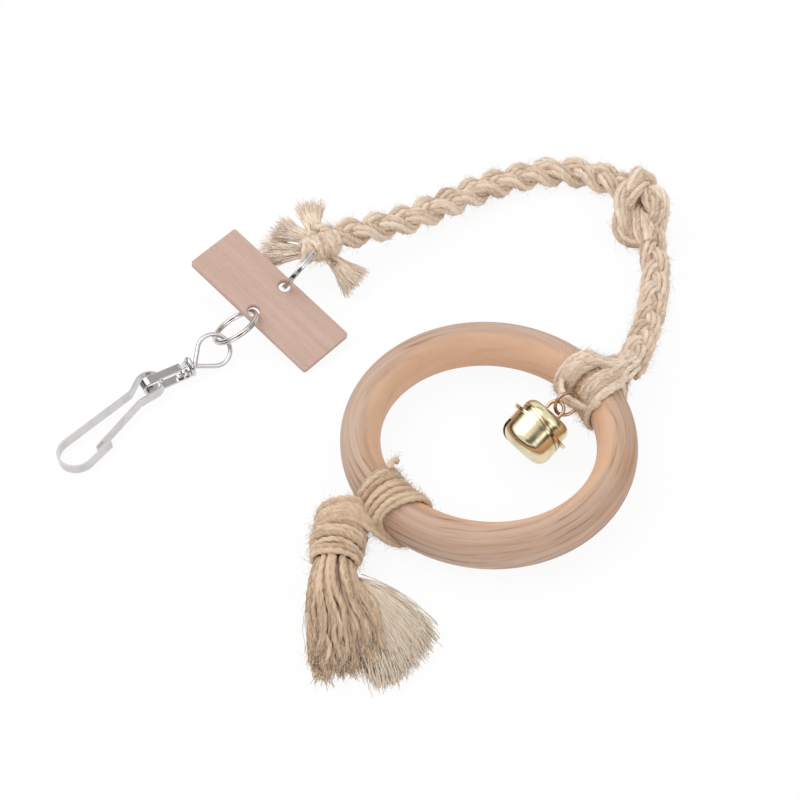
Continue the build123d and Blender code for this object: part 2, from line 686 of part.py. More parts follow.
# Wire eye, pulled outwards inside the lower ring.
to_eye = square_to(heading(*LOWER_RING_TO_EYE), lower_ring_normal)
inside_ring = split_ring_radius - SPLIT_RING_WIDTH / 2 - stem_radius - LINK_PLAY
eye_wire_at = lower_ring_centre + to_eye * inside_ring
stem = heading(STEM_HEADING)
tilt = math.radians(EYE_TILT)
eye_side = Vector(0, 0, 1).cross(stem) * math.cos(tilt) + Vector(0, 0, math.sin(tilt))
eye_plane = Plane(origin=(0, 0, 0), x_dir=stem, z_dir=stem.cross(eye_side))
to_contact = eye_plane.from_local_coords(heading(EYE_HOLDS_RING_AT))
eye_centre = eye_wire_at - to_contact * eye_radius
eye_plane = Plane(origin=eye_centre, x_dir=stem, z_dir=stem.cross(eye_side))
apex = eye_plane.from_local_coords(heading(EYE_LEAN) * -EYE_LENGTH)

# Strap and hook, along the stem.
to_hook = stem * -1
strap_plane = Plane(origin=apex, x_dir=to_hook, z_dir=to_hook.cross(Vector(0, 0, 1)))
head_start = apex + to_hook * stem_head_at
hook_eye_centre = apex + to_hook * HOOK_EYE_AT
hook_level = HOOK_STRIP_WIDTH / 2 + HOOK_FLOOR_GAP
hook_rise = hook_eye_centre.Z - hook_level
hook_along = heading(HOOK_HEADING, math.degrees(math.asin(hook_rise / HOOK_CENTRES)))
hook_plane = plane_at(hook_eye_centre, hook_along.cross(heading(HOOK_HEADING + 90)), hook_along)

# Bell, hung from the bight by its link.
bight_route = bight_arc()
bight_share = (BELL_HANGS_AT - ROPE_LEAVES_RING_AT + BIGHT_HALF_SPREAD) / (2 * BIGHT_HALF_SPREAD)
bell_hold = bight_route @ bight_share
bight_tangent = bight_route % bight_share
link_radius = (LINK_OUTER_DIAMETER - LINK_WIRE) / 2
link_direction = heading(*LINK_FROM_BIGHT)
link_centre = bell_hold + link_direction * (link_radius - (LINK_WIRE + YARN_DIAMETER) / 2 - LINK_CLEARANCE)
link_plane = plane_at(link_centre, square_to(bight_tangent, link_direction), link_direction)
loop_top = link_centre + link_direction * (link_radius - (LINK_WIRE + BELL_LOOP_WIRE) / 2 - LINK_CLEARANCE)
bell_axis = heading(*BELL_AXIS)
bell_centre = loop_top - bell_axis * (BELL_UPPER_DEPTH + BELL_LOOP_HEIGHT)
bell_plane = plane_at(bell_centre, bell_axis, heading(*BELL_SLOT_ALONG))
loop_plane = plane_at(bell_centre, bell_axis, heading(*BELL_LOOP_ALONG))
pellet_centre = bell_centre - bell_axis * (BELL_LOWER_DEPTH - BELL_WALL - PELLET_DIAMETER / 2 - PELLET_PLAY)

# Tassel.
tassel_level = TASSEL_CORE_RADIUS + wrap_offset + YARN_DIAMETER / 2 + FLOOR_GAP
tassel_top = polar(PERCH_OUTER_DIAMETER / 2 + TASSEL_TOP_OUTSIDE, TASSEL_TOP_AT, tassel_level)
tassel_along = heading(TASSEL_HEADING)
tassel_plane = Plane(origin=tassel_top, x_dir=(0, 0, 1), z_dir=tassel_along)
tassel_foot = tassel_top + tassel_along * (collar_length + SOFT_GAP)

# ---------------------------------------------------------------- the pieces
upper_rope = cord_tube("rope_upper", UPPER_ROPE, ROPE_DIAMETER)
lower_rope = cord_tube("rope_lower", LOWER_ROPE, ROPE_DIAMETER, rounded_start=True, rounded_end=True)
core = tassel_core(tassel_plane)
yarns = tassel_yarns(tassel_top, tassel_foot)
pieces = {
    "perch_ring": ring,
    "ring_wrap_left": perch_winding("ring_wrap_left", LEFT_WRAP_AT, ROPE_WRAP_TURNS),
    "ring_wrap_right": perch_winding("ring_wrap_right", RIGHT_WRAP_AT, ROPE_WRAP_TURNS),
    "rope_bight": bight(),
    "rope_gather": rope_gather(ring),
    "tassel_ring_wrap": perch_winding("tassel_ring_wrap", TASSEL_WRAP_AT, TASSEL_WRAP_TURNS),
    "rope_lower": lower_rope,
    "rope_knot": rope_knot(),
    "rope_upper": upper_rope,
    "rope_tie": rope_tie(upper_ring_plane),
    "upper_split_ring": split_ring(upper_ring_plane),
    "wooden_bar": wooden_bar(bar_plane),
    "lower_split_ring": split_ring(lower_ring_plane),
    "wire_eye": wire_eye(eye_plane, apex, head_start),
    "stem_head": rod(head_start, head_start + to_hook * STEM_HEAD_THICKNESS, STEM_HEAD_DIAMETER / 2),
    "eye_collar": eye_collar(apex, stem),
    "swivel_strap": swivel_strap(strap_plane),
    "hook_body": hook_body(hook_plane),
    "hook_gate": hook_gate(hook_plane),
    "bell_link": ring_of_wire(link_plane, link_radius, LINK_WIRE / 2),
    "bell_loop": bell_loop(loop_plane),
    "bell_upper_cup": bell_upper_cup(bell_plane),
    "bell_lower_cup": bell_lower_cup(bell_plane),
    "bell_pellet": Pos(*pellet_centre) * Sphere(PELLET_DIAMETER / 2),
    "tassel_core": core,
    "tassel_collar": tassel_collar(tassel_plane),
    "tassel_yarns": yarns,
    "tassel_fray": bundle(from_top(tassel_top, TASSEL_FRAY_STATIONS)) - yarns,
}
for name, (root, tip, tip_radius) in TUFTS.items():
    pieces[name] = tuft(Vector(*root), Vector(*tip), TUFT_ROOT_RADIUS, tip_radius)

os.makedirs("parts", exist_ok=True)
for name, piece in pieces.items():
    export_step(Pos(*BASE_SHIFT) * piece, f"parts/{name}.step")
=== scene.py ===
"""Looks of a bird swing laid flat: snap hook, wooden bar, plaited jute rope, perch ring, bell and tassel.

Places are worked out in millimetres from the perch ring's centre, as the source of the solids gives them, and are
turned to metres in the model's frame when a mesh is made.
"""

import logging
import math
from dataclasses import dataclass, field
from enum import Enum

import bpy
import numpy as np
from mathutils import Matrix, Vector


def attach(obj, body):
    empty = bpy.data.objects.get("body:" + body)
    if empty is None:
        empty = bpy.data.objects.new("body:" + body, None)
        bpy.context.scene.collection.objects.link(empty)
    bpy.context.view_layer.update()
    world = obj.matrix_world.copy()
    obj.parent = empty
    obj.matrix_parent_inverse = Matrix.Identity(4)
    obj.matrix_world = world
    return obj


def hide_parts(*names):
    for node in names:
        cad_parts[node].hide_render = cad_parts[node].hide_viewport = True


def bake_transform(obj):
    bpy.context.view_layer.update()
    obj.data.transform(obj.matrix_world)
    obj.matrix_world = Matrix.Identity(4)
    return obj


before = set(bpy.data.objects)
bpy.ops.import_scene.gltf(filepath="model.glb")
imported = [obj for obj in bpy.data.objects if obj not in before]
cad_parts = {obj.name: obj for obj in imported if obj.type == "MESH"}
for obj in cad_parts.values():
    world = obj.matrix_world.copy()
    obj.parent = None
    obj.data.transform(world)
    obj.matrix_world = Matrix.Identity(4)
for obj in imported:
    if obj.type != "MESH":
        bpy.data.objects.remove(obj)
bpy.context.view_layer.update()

LOG = logging.getLogger("bird_swing")
MM = 0.001
BASE_SHIFT = np.array([37.9, -10.5, 0.0])
UP = np.array([0.0, 0.0, 1.0])
TURN = 2 * math.pi
ROPE_END = "rope_upper_end"
ROUND_SIDES = 10
PLAIT_STEP = 0.45
HALO_SHARE = 0.3
LOOSE_RADIUS = 0.045
LOOSE_LOWEST = 0.12
NOISE_PERIOD = 90


class Spin(Enum):
    """How a thread is spun: the share of its radius that its two plies stand out by, and the length of one turn."""

    FIBRE = (0.0, 5.0)
    PLAITED = (0.14, 5.0)
    SLACK = (0.1, 6.0)
    CUT = (0.12, 6.0)
    WOUND = (0.14, 4.6)
    COLLAR = (0.16, 4.6)
    SPREAD = (0.16, 5.5)


# ---------------------------------------------------------------- arithmetic on points
def row(points: np.ndarray) -> np.ndarray:
    """Millimetres from the perch ring's centre, turned to metres in the model's frame."""
    return (np.asarray(points, float) + BASE_SHIFT) * MM


def unit(vectors: np.ndarray) -> np.ndarray:
    """Vectors over their own lengths."""
    vectors = np.asarray(vectors, float)
    return vectors / np.maximum(np.linalg.norm(vectors, axis=-1, keepdims=True), 1e-12)


def heading(azimuth: float) -> np.ndarray:
    """Level unit vector at an azimuth in degrees."""
    return np.array([math.cos(math.radians(azimuth)), math.sin(math.radians(azimuth)), 0.0])


def above(points: np.ndarray, lowest: float) -> np.ndarray:
    """The same points, with none below a height."""
    return np.maximum(points, [-np.inf, -np.inf, lowest])


def run_along(lines: np.ndarray) -> np.ndarray:
    """Length of each line up to each of its points."""
    steps = np.linalg.norm(np.diff(lines, axis=-2), axis=-1)
    return np.concatenate([np.zeros_like(steps[..., :1]), np.cumsum(steps, axis=-1)], axis=-1)


def between(at: np.ndarray, known: np.ndarray, points: np.ndarray) -> np.ndarray:
    """Points at some places of a broken line whose corners' places are known."""
    return np.stack([np.interp(at, known, points[:, k]) for k in range(3)], axis=1)


def resample(line: np.ndarray, spacing: float) -> np.ndarray:
    """The same line with points at an even spacing.

    Args:
        line: Points in order, in millimetres.
        spacing: Wanted distance between neighbours.

    Returns:
        Points at equal shares of the line's length, the first and last unmoved.
    """
    along = run_along(line)
    count = max(round(along[-1] / spacing), 4)
    return between(np.linspace(0, along[-1], count + 1), along, line)


def smooth_line(points: list | tuple, spacing: float = 0.5) -> np.ndarray:
    """Smooth line through given points: a cubic between each two, whose slopes are half its neighbours' chord.

    Args:
        points: Points in order, in millimetres.
        spacing: Distance between the points of the result.

    Returns:
        Points of the line at that spacing.
    """
    p = np.asarray(points, float)
    p = np.vstack([2 * p[0] - p[1], p, 2 * p[-1] - p[-2]])
    runs = len(p) - 3
    t = np.linspace(0, runs, runs * 40 + 1)
    i = np.minimum(t.astype(int), runs - 1)
    f = (t - i)[:, None]
    a, b, c, d = p[i], p[i + 1], p[i + 2], p[i + 3]
    line = 0.5 * (2 * b + (c - a) * f + (2 * a - 5 * b + 4 * c - d) * f**2 + (3 * b - a - 3 * c + d) * f**3)
    return resample(line, spacing)


def frames(lines: np.ndarray, hint: np.ndarray = UP) -> tuple[np.ndarray, np.ndarray, np.ndarray]:
    """Direction, side and top of each point of lines: side is square to the direction and to a hint.

    Args:
        lines: Points, shaped (..., points, 3).
        hint: One vector, or one for each point, that the top leans towards.

    Returns:
        Unit vectors along, side and top, each shaped as lines.
    """
    along = unit(np.gradient(lines, axis=-2))
    side = unit(np.cross(np.broadcast_to(hint, lines.shape), along))
    return along, side, np.cross(along, side)


def tube_faces(stations: int, sides: int) -> np.ndarray:
    """Faces of a tube: quads between its rings, and triangles round one vertex at each end.

    Args:
        stations: Number of rings.
        sides: Vertices of a ring. The two end vertices come after all the rings.

    Returns:
        Corner numbers, four a face, a triangle having its last corner twice.
    """
    i = np.arange(stations - 1)[:, None] * sides
    j = np.arange(sides)
    k = (j + 1) % sides
    quads = np.stack([i + j, i + k, i + sides + k, i + sides + j], axis=-1).reshape(-1, 4)
    last, first_end = (stations - 1) * sides, np.full(sides, stations * sides)
    head = np.stack([first_end, k, j, j], axis=-1)
    tail = np.stack([first_end + 1, last + j, last + k, last + k], axis=-1)
    return np.vstack([quads, head, tail])


# ---------------------------------------------------------------- meshes
@dataclass
class Threads:
    """Many round threads gathered into one mesh.

    A thread's surface is centre + radius * (cos(angle) * side + sin(angle) * top), with its two plies as a swell of
    cos(2 * (angle - twist)). Each vertex keeps "fibre", a point on an untwisted thread that streaks can follow, and
    "shade", one number for the whole thread.
    """

    seed: int
    parts: list = field(default_factory=list)
    total: int = 0

    def __post_init__(self) -> None:
        """Starts the threads' own source of random numbers."""
        self.rng = np.random.default_rng(self.seed)

    def ripple(self, stations: int, waves: float, count: int = 1) -> np.ndarray:
        """Slow random waves: three sines of random phase, for each of several lines.

        Args:
            stations: Points on each.
            waves: Waves that fit on a line.
            count: Number of lines.

        Returns:
            Values of about -1 to 1, shaped (count, stations).
        """
        t = np.linspace(0, TURN, stations)
        rate = waves * np.array([0.6, 1.0, 1.7])[:, None, None] * self.rng.uniform(0.8, 1.2, (3, count, 1))
        return np.mean(np.sin(rate * t + self.rng.uniform(0, TURN, (3, count, 1))), axis=0) * 1.4

    def add(
        self,
        lines: np.ndarray,
        radius: float | np.ndarray,
        spin: Spin = Spin.FIBRE,
        sides: int = 8,
        hint: np.ndarray = UP,
        shade: float | np.ndarray | None = None,
    ) -> None:
        """Adds threads that follow lines.

        Args:
            lines: Centre lines, shaped (threads, stations, 3) or (stations, 3), in millimetres.
            radius: One radius, or one for each station, shaped to broadcast over (threads, stations).
            spin: How they are spun.
            sides: Sides round a thread.
            hint: Vector that the threads' tops lean towards.
            shade: Number of each thread, 0 dark to 1 pale; random where it is left out.
        """
        lines = lines if lines.ndim == 3 else lines[None]
        count, stations, _ = lines.shape
        ply, pitch = spin.value
        way, side, top = (vectors[:, :, None] for vectors in frames(lines, hint))
        length, middle = run_along(lines)[:, :, None], lines[:, :, None]
        angle = np.linspace(0, TURN, sides, endpoint=False)
        untwisted = angle - (length * TURN / pitch + self.rng.uniform(0, TURN, (count, 1, 1)))
        reach = np.broadcast_to(radius, (count, stations))[:, :, None] * (1 + ply * np.cos(2 * untwisted))
        ring = middle + reach[..., None] * (np.cos(angle)[:, None] * side + np.sin(angle)[:, None] * top)
        thick, own = float(np.max(radius)), self.rng.uniform(0, NOISE_PERIOD, (count, 1, 1))
        streak = np.cos(untwisted) * thick + own, np.sin(untwisted) * thick, length
        streak = np.stack(np.broadcast_arrays(*streak), axis=-1)
        size = stations * sides + 2
        faces = tube_faces(stations, sides) + (self.total + np.arange(count)[:, None, None] * size)
        shade = self.rng.uniform(0, 1, count) if shade is None else np.broadcast_to(shade, count)
        points = np.concatenate([ring.reshape(count, -1, 3), lines[:, [0, -1]]], axis=1)
        fibre = np.concatenate([streak.reshape(count, -1, 3), streak[:, [0, -1], 0]], axis=1)
        outs, ways = unit(ring - middle), np.broadcast_to(way, ring.shape)
        vectors = [array.reshape(-1, 3) for array in (points, fibre, ring, ways, outs)]
        self.parts.append((faces.reshape(-1, 4), np.repeat(shade, size), *vectors))
        self.total += count * size

    def _joined(self) -> list[np.ndarray]:
        """Each kind of array joined over the parts: faces, shade, points, fibre, rings, ways and outs."""
        return [np.concatenate(kind) for kind in zip(*self.parts)]

    def loose_fibres(self, count: int, seed: int) -> "Threads":
        """Loose fibres of these threads: most lie along them, and the rest stand off as a halo.

        A fibre starts at a random vertex. Its way out is the direction from its thread's centre, and its way along is
        the thread's direction, turned aside at random. The line is out * h * sin(t) + way * t, bent aside as t * t.

        Args:
            count: Number of fibres.
            seed: Seed of their places.

        Returns:
            The fibres as threads of their own.
        """
        made = Threads(seed)
        rng = made.rng
        *_, points, ways, outs = self._joined()
        pick = rng.integers(0, len(points), count)
        out, along = outs[pick], ways[pick] * rng.choice((-1, 1), (count, 1))
        halo = (rng.uniform(0, 1, (count, 1)) < HALO_SHARE).astype(float)
        stray = rng.normal(size=(count, 3))
        way = unit(along * (1 - 0.6 * halo) + stray * (0.22 + 0.4 * halo) + out * (0.1 + 0.75 * halo))
        reach = rng.uniform(1.6, 4.4, (count, 1)) * (1 - 0.35 * halo)
        t = np.linspace(0, 1, 6)[None, :, None]
        taper = np.linspace(1, 0.5, 6)[None, :]
        hump = np.sin(t * math.pi) * (0.28 + 0.3 * halo[:, None])
        bend = unit(np.cross(way, rng.normal(size=(count, 3))))
        lines = points[pick][:, None] + reach[:, None] * (t * way[:, None] + 0.3 * t**2 * bend[:, None])
        lines = above(lines + hump * out[:, None], LOOSE_LOWEST)
        made.add(lines, LOOSE_RADIUS * taper, sides=3, shade=rng.uniform(0.35, 1, count))
        return made

    def piece(self, name: str, material: bpy.types.Material) -> bpy.types.Object:
        """The threads as one smooth-shaded object.

        Args:
            name: The piece's name.
            material: Its finish.

        Returns:
            The object, its vertices keeping their "fibre" and "shade".
        """
        faces, shade, points, fibre, *_ = self._joined()
        made = mesh_piece(name, points, faces, material)
        kept = (("fibre", "FLOAT_VECTOR", "vector", fibre), ("shade", "FLOAT", "value", shade))
        for label, kind, key, values in kept:
            attribute = made.data.attributes.new(label, kind, "POINT")
            attribute.data.foreach_set(key, values.astype(np.float32).ravel())
        return made


def new_object(name: str, data: bpy.types.ID) -> bpy.types.Object:
    """An object linked to the scene.

    Args:
        name: Its name.
        data: Mesh, curve, camera or lamp that it holds.

    Returns:
        The object.
    """
    made = bpy.data.objects.new(name, data)
    bpy.context.scene.collection.objects.link(made)
    return made


def mesh_piece(name: str, points: np.ndarray, faces: np.ndarray, material: bpy.types.Material) -> bpy.types.Object:
    """One mesh object at the origin.

    Args:
        name: Its name.
        points: Vertices in millimetres from the perch ring's centre.
        faces: Corner numbers, four a face, a triangle having its last corner twice.
        material: Its finish.

    Returns:
        The object, smooth-shaded and linked to the scene.
    """
    keep = np.ones(faces.shape, bool)
    keep[:, 3] = faces[:, 2] != faces[:, 3]
    corners, sizes = faces[keep], keep.sum(axis=1)
    mesh = bpy.data.meshes.new(name)
    mesh.vertices.add(len(points))
    mesh.vertices.foreach_set("co", row(points).astype(np.float32).ravel())
    mesh.loops.add(len(corners))
    mesh.loops.foreach_set("vertex_index", corners.astype(np.int32))
    mesh.polygons.add(len(faces))
    mesh.polygons.foreach_set("loop_start", (np.cumsum(sizes) - sizes).astype(np.int32))
    mesh.polygons.foreach_set("use_smooth", np.ones(len(faces), bool))
    mesh.update(calc_edges=True)
    mesh.validate()
    mesh.materials.append(material)
    return new_object(name, mesh)


# ---------------------------------------------------------------- finishes
@dataclass(frozen=True)
class Signal:
    """A value in a node tree. Each sum or product of signals and numbers is a Math node."""

    nodes: "Nodes"
    socket: bpy.types.NodeSocket

    def __add__(self, other: "Signal | float") -> "Signal":
        """Sum."""
        return self.nodes.math("ADD", self, other)

    def __sub__(self, other: "Signal | float") -> "Signal":
        """Difference."""
        return self.nodes.math("SUBTRACT", self, other)

    def __mul__(self, other: "Signal | float") -> "Signal":
        """Product."""
        return self.nodes.math("MULTIPLY", self, other)


class Nodes:
    """The node tree of a material or of the world, with short ways to add and join its nodes."""

    def __init__(self, owner: bpy.types.Material | bpy.types.World, shader: str = "Principled BSDF") -> None:
        """Starts from a shader that the owner has.

        Args:
            owner: The material or world.
            shader: The name of that shader.
        """
        owner.use_nodes = True
        self.owner, self.tree = owner, owner.node_tree
        self.shader = self.tree.nodes[shader]

    @classmethod
    def named(cls, name: str) -> "Nodes":
        """Nodes of a new material."""
        return cls(bpy.data.materials.new(name))

    def put(self, socket: bpy.types.NodeSocket, value: Signal | tuple | float) -> None:
        """Gives a socket a signal, or a number, vector or colour of its own.

        Args:
            socket: The socket.
            value: What it gets; a colour has no alpha.
        """
        if isinstance(value, Signal):
            self.tree.links.new(value.socket, socket)
        else:
            socket.default_value = (*value, 1) if socket.type == "RGBA" else value

    def node(self, kind: str, *values: Signal | tuple | float, **settings: object) -> bpy.types.Node:
        """Adds a node.

        Args:
            kind: Its type, without the words ShaderNode.
            *values: What its first sockets get, in order.
            **settings: What its own fields, or else its sockets, get by name, an underscore standing for a space.

        Returns:
            The node.
        """
        made = self.tree.nodes.new("ShaderNode" + kind)
        for key, value in settings.items():
            if hasattr(made, key):
                setattr(made, key, value)
            else:
                self.put(made.inputs[key.replace("_", " ")], value)
        for socket, value in zip(made.inputs, values):
            self.put(socket, value)
        return made

    def out(self, kind: str, output: str | int, *values: Signal | tuple | float, **settings: object) -> Signal:
        """One output of a new node, whose values and settings are those of node()."""
        return Signal(self, self.node(kind, *values, **settings).outputs[output])

    def place(self) -> Signal:
        """The place on the piece, as Object coordinates."""
        return self.out("TexCoord", "Object")

    def math(self, operation: str, *values: Signal | float) -> Signal:
        """One Math node over signals or numbers."""
        return self.out("Math", 0, *values, operation=operation)

    def noise(self, vector: Signal, scale: float | tuple, detail: float) -> Signal:
        """Noise over a vector.

        Args:
            vector: Where the noise is read.
            scale: Its scale, or one for each direction.
            detail: Number of finer layers.

        Returns:
            Values about 0.5.
        """
        if isinstance(scale, tuple):
            vector, scale = self.out("Mapping", "Vector", Vector=vector, Scale=scale), 1.0
        return self.out("TexNoise", "Fac", Vector=vector, Scale=scale, Detail=detail)

    def ramp(self, factor: Signal, *stops: tuple) -> Signal:
        """Colour ramp.

        Args:
            factor: Where it is read.
            *stops: Place and colour of each stop, a lone number being a grey.

        Returns:
            The colour there.
        """
        node = self.node("ValToRGB", factor)
        while len(node.color_ramp.elements) < len(stops):
            node.color_ramp.elements.new(0.5)
        for element, (place, colour) in zip(node.color_ramp.elements, stops):
            element.position = place
            element.color = (*colour, 1) if isinstance(colour, tuple) else (colour, colour, colour, 1)
        return Signal(self, node.outputs["Color"])

    def mix(self, factor: Signal | float, first: Signal, second: Signal | tuple, blend: str = "MIX") -> Signal:
        """Mixes two colours.

        Args:
            factor: Share of the second.
            first: The colour below.
            second: The colour above.
            blend: How they are mixed.

        Returns:
            The mixed colour.
        """
        node = self.node("Mix", factor, data_type="RGBA", blend_type=blend)
        self.put(node.inputs[6], first)
        self.put(node.inputs[7], second)
        return Signal(self, node.outputs[2])

    def tint(self, colour: Signal, *layers: tuple) -> Signal:
        """A colour multiplied by layers.

        Args:
            colour: The colour below them.
            *layers: Strength and colour of each.

        Returns:
            The darkened colour.
        """
        for strength, layer in layers:
            colour = self.mix(strength, colour, layer, "MULTIPLY")
        return colour

    def dress(self, **values: Signal | tuple | float) -> None:
        """Gives the shader's own sockets their values by name, an underscore standing for a space."""
        for key, value in values.items():
            self.put(self.shader.inputs[key.replace("_", " ")], value)

    def bump(self, height: Signal, distance: float, strength: float) -> None:
        """Bumps the shader by a height from 0 to 1 over a distance in metres."""
        self.dress(Normal=self.out("Bump", "Normal", Height=height, Distance=distance, Strength=strength))

    def whiten(self, plain: Signal, share: float) -> None:
        """Shows a plain shader in the background's place.

        Args:
            plain: What the camera sees, directly, in mirrors and through glass.
            share: Share of it there. All other rays meet the owner's own shader.
        """
        rays = self.node("LightPath").outputs
        direct, mirror, glass = (Signal(self, rays[f"Is {kind} Ray"]) for kind in ("Camera", "Glossy", "Transmission"))
        seen = self.math("MAXIMUM", self.math("MAXIMUM", direct, mirror), glass)
        mixed = self.out("MixShader", 0, seen * share, Signal(self, self.shader.outputs[0]), plain)
        end = next(node for node in self.tree.nodes if node.bl_idname.startswith("ShaderNodeOutput"))
        self.put(end.inputs["Surface"], mixed)


def srgb(red: int, green: int, blue: int) -> tuple[float, float, float]:
    """A colour from its 0 to 255 screen values, as light: ((c + 0.055) / 1.055) ** 2.4 above 0.04.

    Args:
        red: Screen value of red.
        green: Screen value of green.
        blue: Screen value of blue.

    Returns:
        The three amounts of light.
    """
    values = np.array([red, green, blue]) / 255
    light = np.where(values > 0.04045, ((values + 0.055) / 1.055) ** 2.4, values / 12.92)
    return tuple(float(x) for x in light)


@dataclass(frozen=True)
class Jute:
    """Dry plant fibre: streaks along the twisted thread, paler and darker threads, and a soft nap."""

    name: str
    pale: tuple
    middle: tuple
    dark: tuple

    def material(self) -> bpy.types.Material:
        """Builds the finish.

        Returns:
            The material.
        """
        nodes = Nodes.named(self.name)
        fibre = nodes.out("Attribute", "Vector", attribute_name="fibre")
        shade = nodes.out("Attribute", "Fac", attribute_name="shade")
        streaks = nodes.noise(fibre, (5.5, 5.5, 0.55), 5.0)
        strands = nodes.noise(fibre, (2.2, 2.2, 0.2), 3.0)
        patches = nodes.noise(nodes.place(), 90.0, 3.0)
        level = streaks * 0.75 + shade * 0.22 + patches * 0.2 - 0.06
        nodes.dress(
            Base_Color=nodes.ramp(level, (0.3, self.dark), (0.46, self.middle), (0.7, self.pale)),
            Roughness=0.88,
            Specular_IOR_Level=0.25,
            Sheen_Weight=0.18,
            Sheen_Roughness=0.5,
        )
        nodes.bump(strands * 0.6 + streaks * 0.6, 0.00045, 0.8)
        return nodes.owner


@dataclass(frozen=True)
class TurnedWood:
    """Fine pale wood of the perch ring: year rings that run round it as streaks, with short pores."""

    name: str = "turned_wood"
    bore_radius: float = 0.0335

    def material(self) -> bpy.types.Material:
        """Builds the finish: grain on the distance from the ring's axis and the height, warped by slow noise.

        Returns:
            The material.
        """
        nodes = Nodes.named(self.name)
        place = nodes.place()
        local = nodes.out("VectorMath", 0, place, tuple(-row(np.zeros(3))), operation="ADD")
        x, y, z = (Signal(nodes, socket) for socket in nodes.node("SeparateXYZ", local).outputs)
        radius = nodes.math("SQRT", x * x + y * y)
        sweep = (nodes.noise(place, (22.0, 22.0, 44.0), 2.0) - 0.5) * 0.0035
        depth = radius + sweep + (x * 0.09 + y * 0.05 + z * -0.84)
        ring = nodes.out("CombineXYZ", 0, depth, z * 0.35, (x + y) * 0.06)
        years = nodes.noise(ring, 900.0, 4.0)
        drift = nodes.noise(place, (26.0, 26.0, 39.0), 3.0)
        fade = nodes.noise(place, (48.0, 48.0, 96.0), 3.0)
        wave = nodes.math("SINE", depth * 2500.0 + drift * 13.0) * 0.5 + 0.5
        pores = nodes.noise(ring, (4200, 2600, 900), 2.0)
        base = nodes.ramp(
            nodes.noise(ring, 260.0, 2.0),
            (0.3, srgb(184, 152, 130)),
            (0.5, srgb(193, 164, 144)),
            (0.7, srgb(201, 176, 158)),
        )
        wave = wave * (fade * 1.5 + 0.18)
        thin = nodes.ramp(wave, (0.76, 1), (0.88, (0.89, 0.83, 0.78)), (0.99, (0.62, 0.52, 0.46)))
        lines = nodes.ramp(years, (0.3, (0.84, 0.77, 0.71)), (0.48, (0.97, 0.95, 0.93)), (0.62, 1))
        speck = nodes.ramp(pores, (0.3, (0.8, 0.72, 0.66)), (0.42, 1))
        warm = nodes.ramp(nodes.noise(place, 34.0, 3.0), (0.5, 1), (0.7, (1.0, 0.88, 0.74)))
        colour = nodes.tint(base, (0.85, thin), (0.7, lines), (0.4, speck), (0.8, warm))
        # Band on the ring's inner side, mixed towards a pale orange: the orange is the wood's own warmer tone, and its
        # paleness is painted light that lifts the shaded inside of the ring.
        inner = nodes.math("SUBTRACT", self.bore_radius, radius) * 300.0 * (drift * 2.6 - 0.5)
        nodes.dress(
            Base_Color=nodes.mix(nodes.ramp(inner, (0.0, 0), (0.25, 0.4), (0.7, 0.62)), colour, srgb(236, 190, 154)),
            Roughness=nodes.ramp(years, (0.3, 0.6), (0.7, 0.5)),
            Specular_IOR_Level=0.4,
        )
        nodes.bump(years * 0.5 + pores * 0.5, 0.00012, 0.6)
        return nodes.owner


@dataclass(frozen=True)
class BarWood:
    """Sawn thin wood of the bar: straight fine grain along it, short flecks and slow changes of tone."""

    azimuth: float
    elevation: float
    centre: tuple
    name: str = "bar_wood"

    def material(self) -> bpy.types.Material:
        """Builds the finish, its grain turned to the bar's length and tilt.

        Returns:
            The material.
        """
        nodes = Nodes.named(self.name)
        grain = nodes.out("VectorMath", 0, nodes.place(), self.centre, operation="SUBTRACT")
        for axis, degrees in (("Z_AXIS", -self.azimuth), ("Y_AXIS", self.elevation)):
            grain = nodes.out("VectorRotate", 0, Vector=grain, rotation_type=axis, Angle=math.radians(degrees))
        fine = nodes.noise(grain, (60, 2600, 900), 4.0)
        broad = nodes.noise(grain, (25, 420, 300), 3.0)
        fleck = nodes.noise(grain, (500, 3600, 900), 2.0)
        base = nodes.ramp(broad, (0.3, srgb(197, 167, 153)), (0.55, srgb(201, 172, 158)), (0.75, srgb(207, 179, 166)))
        lines = nodes.ramp(fine, (0.32, (0.91, 0.88, 0.86)), (0.5, (0.98, 0.975, 0.97)), (0.66, 1))
        dark = nodes.ramp(fleck, (0.34, (0.75, 0.68, 0.62)), (0.45, 1))
        nodes.dress(
            Base_Color=nodes.tint(base, (0.8, lines), (0.3, dark)), Roughness=0.72, Specular_IOR_Level=0.3
        )
        nodes.bump(fine + fleck, 0.0001, 0.5)
        return nodes.owner


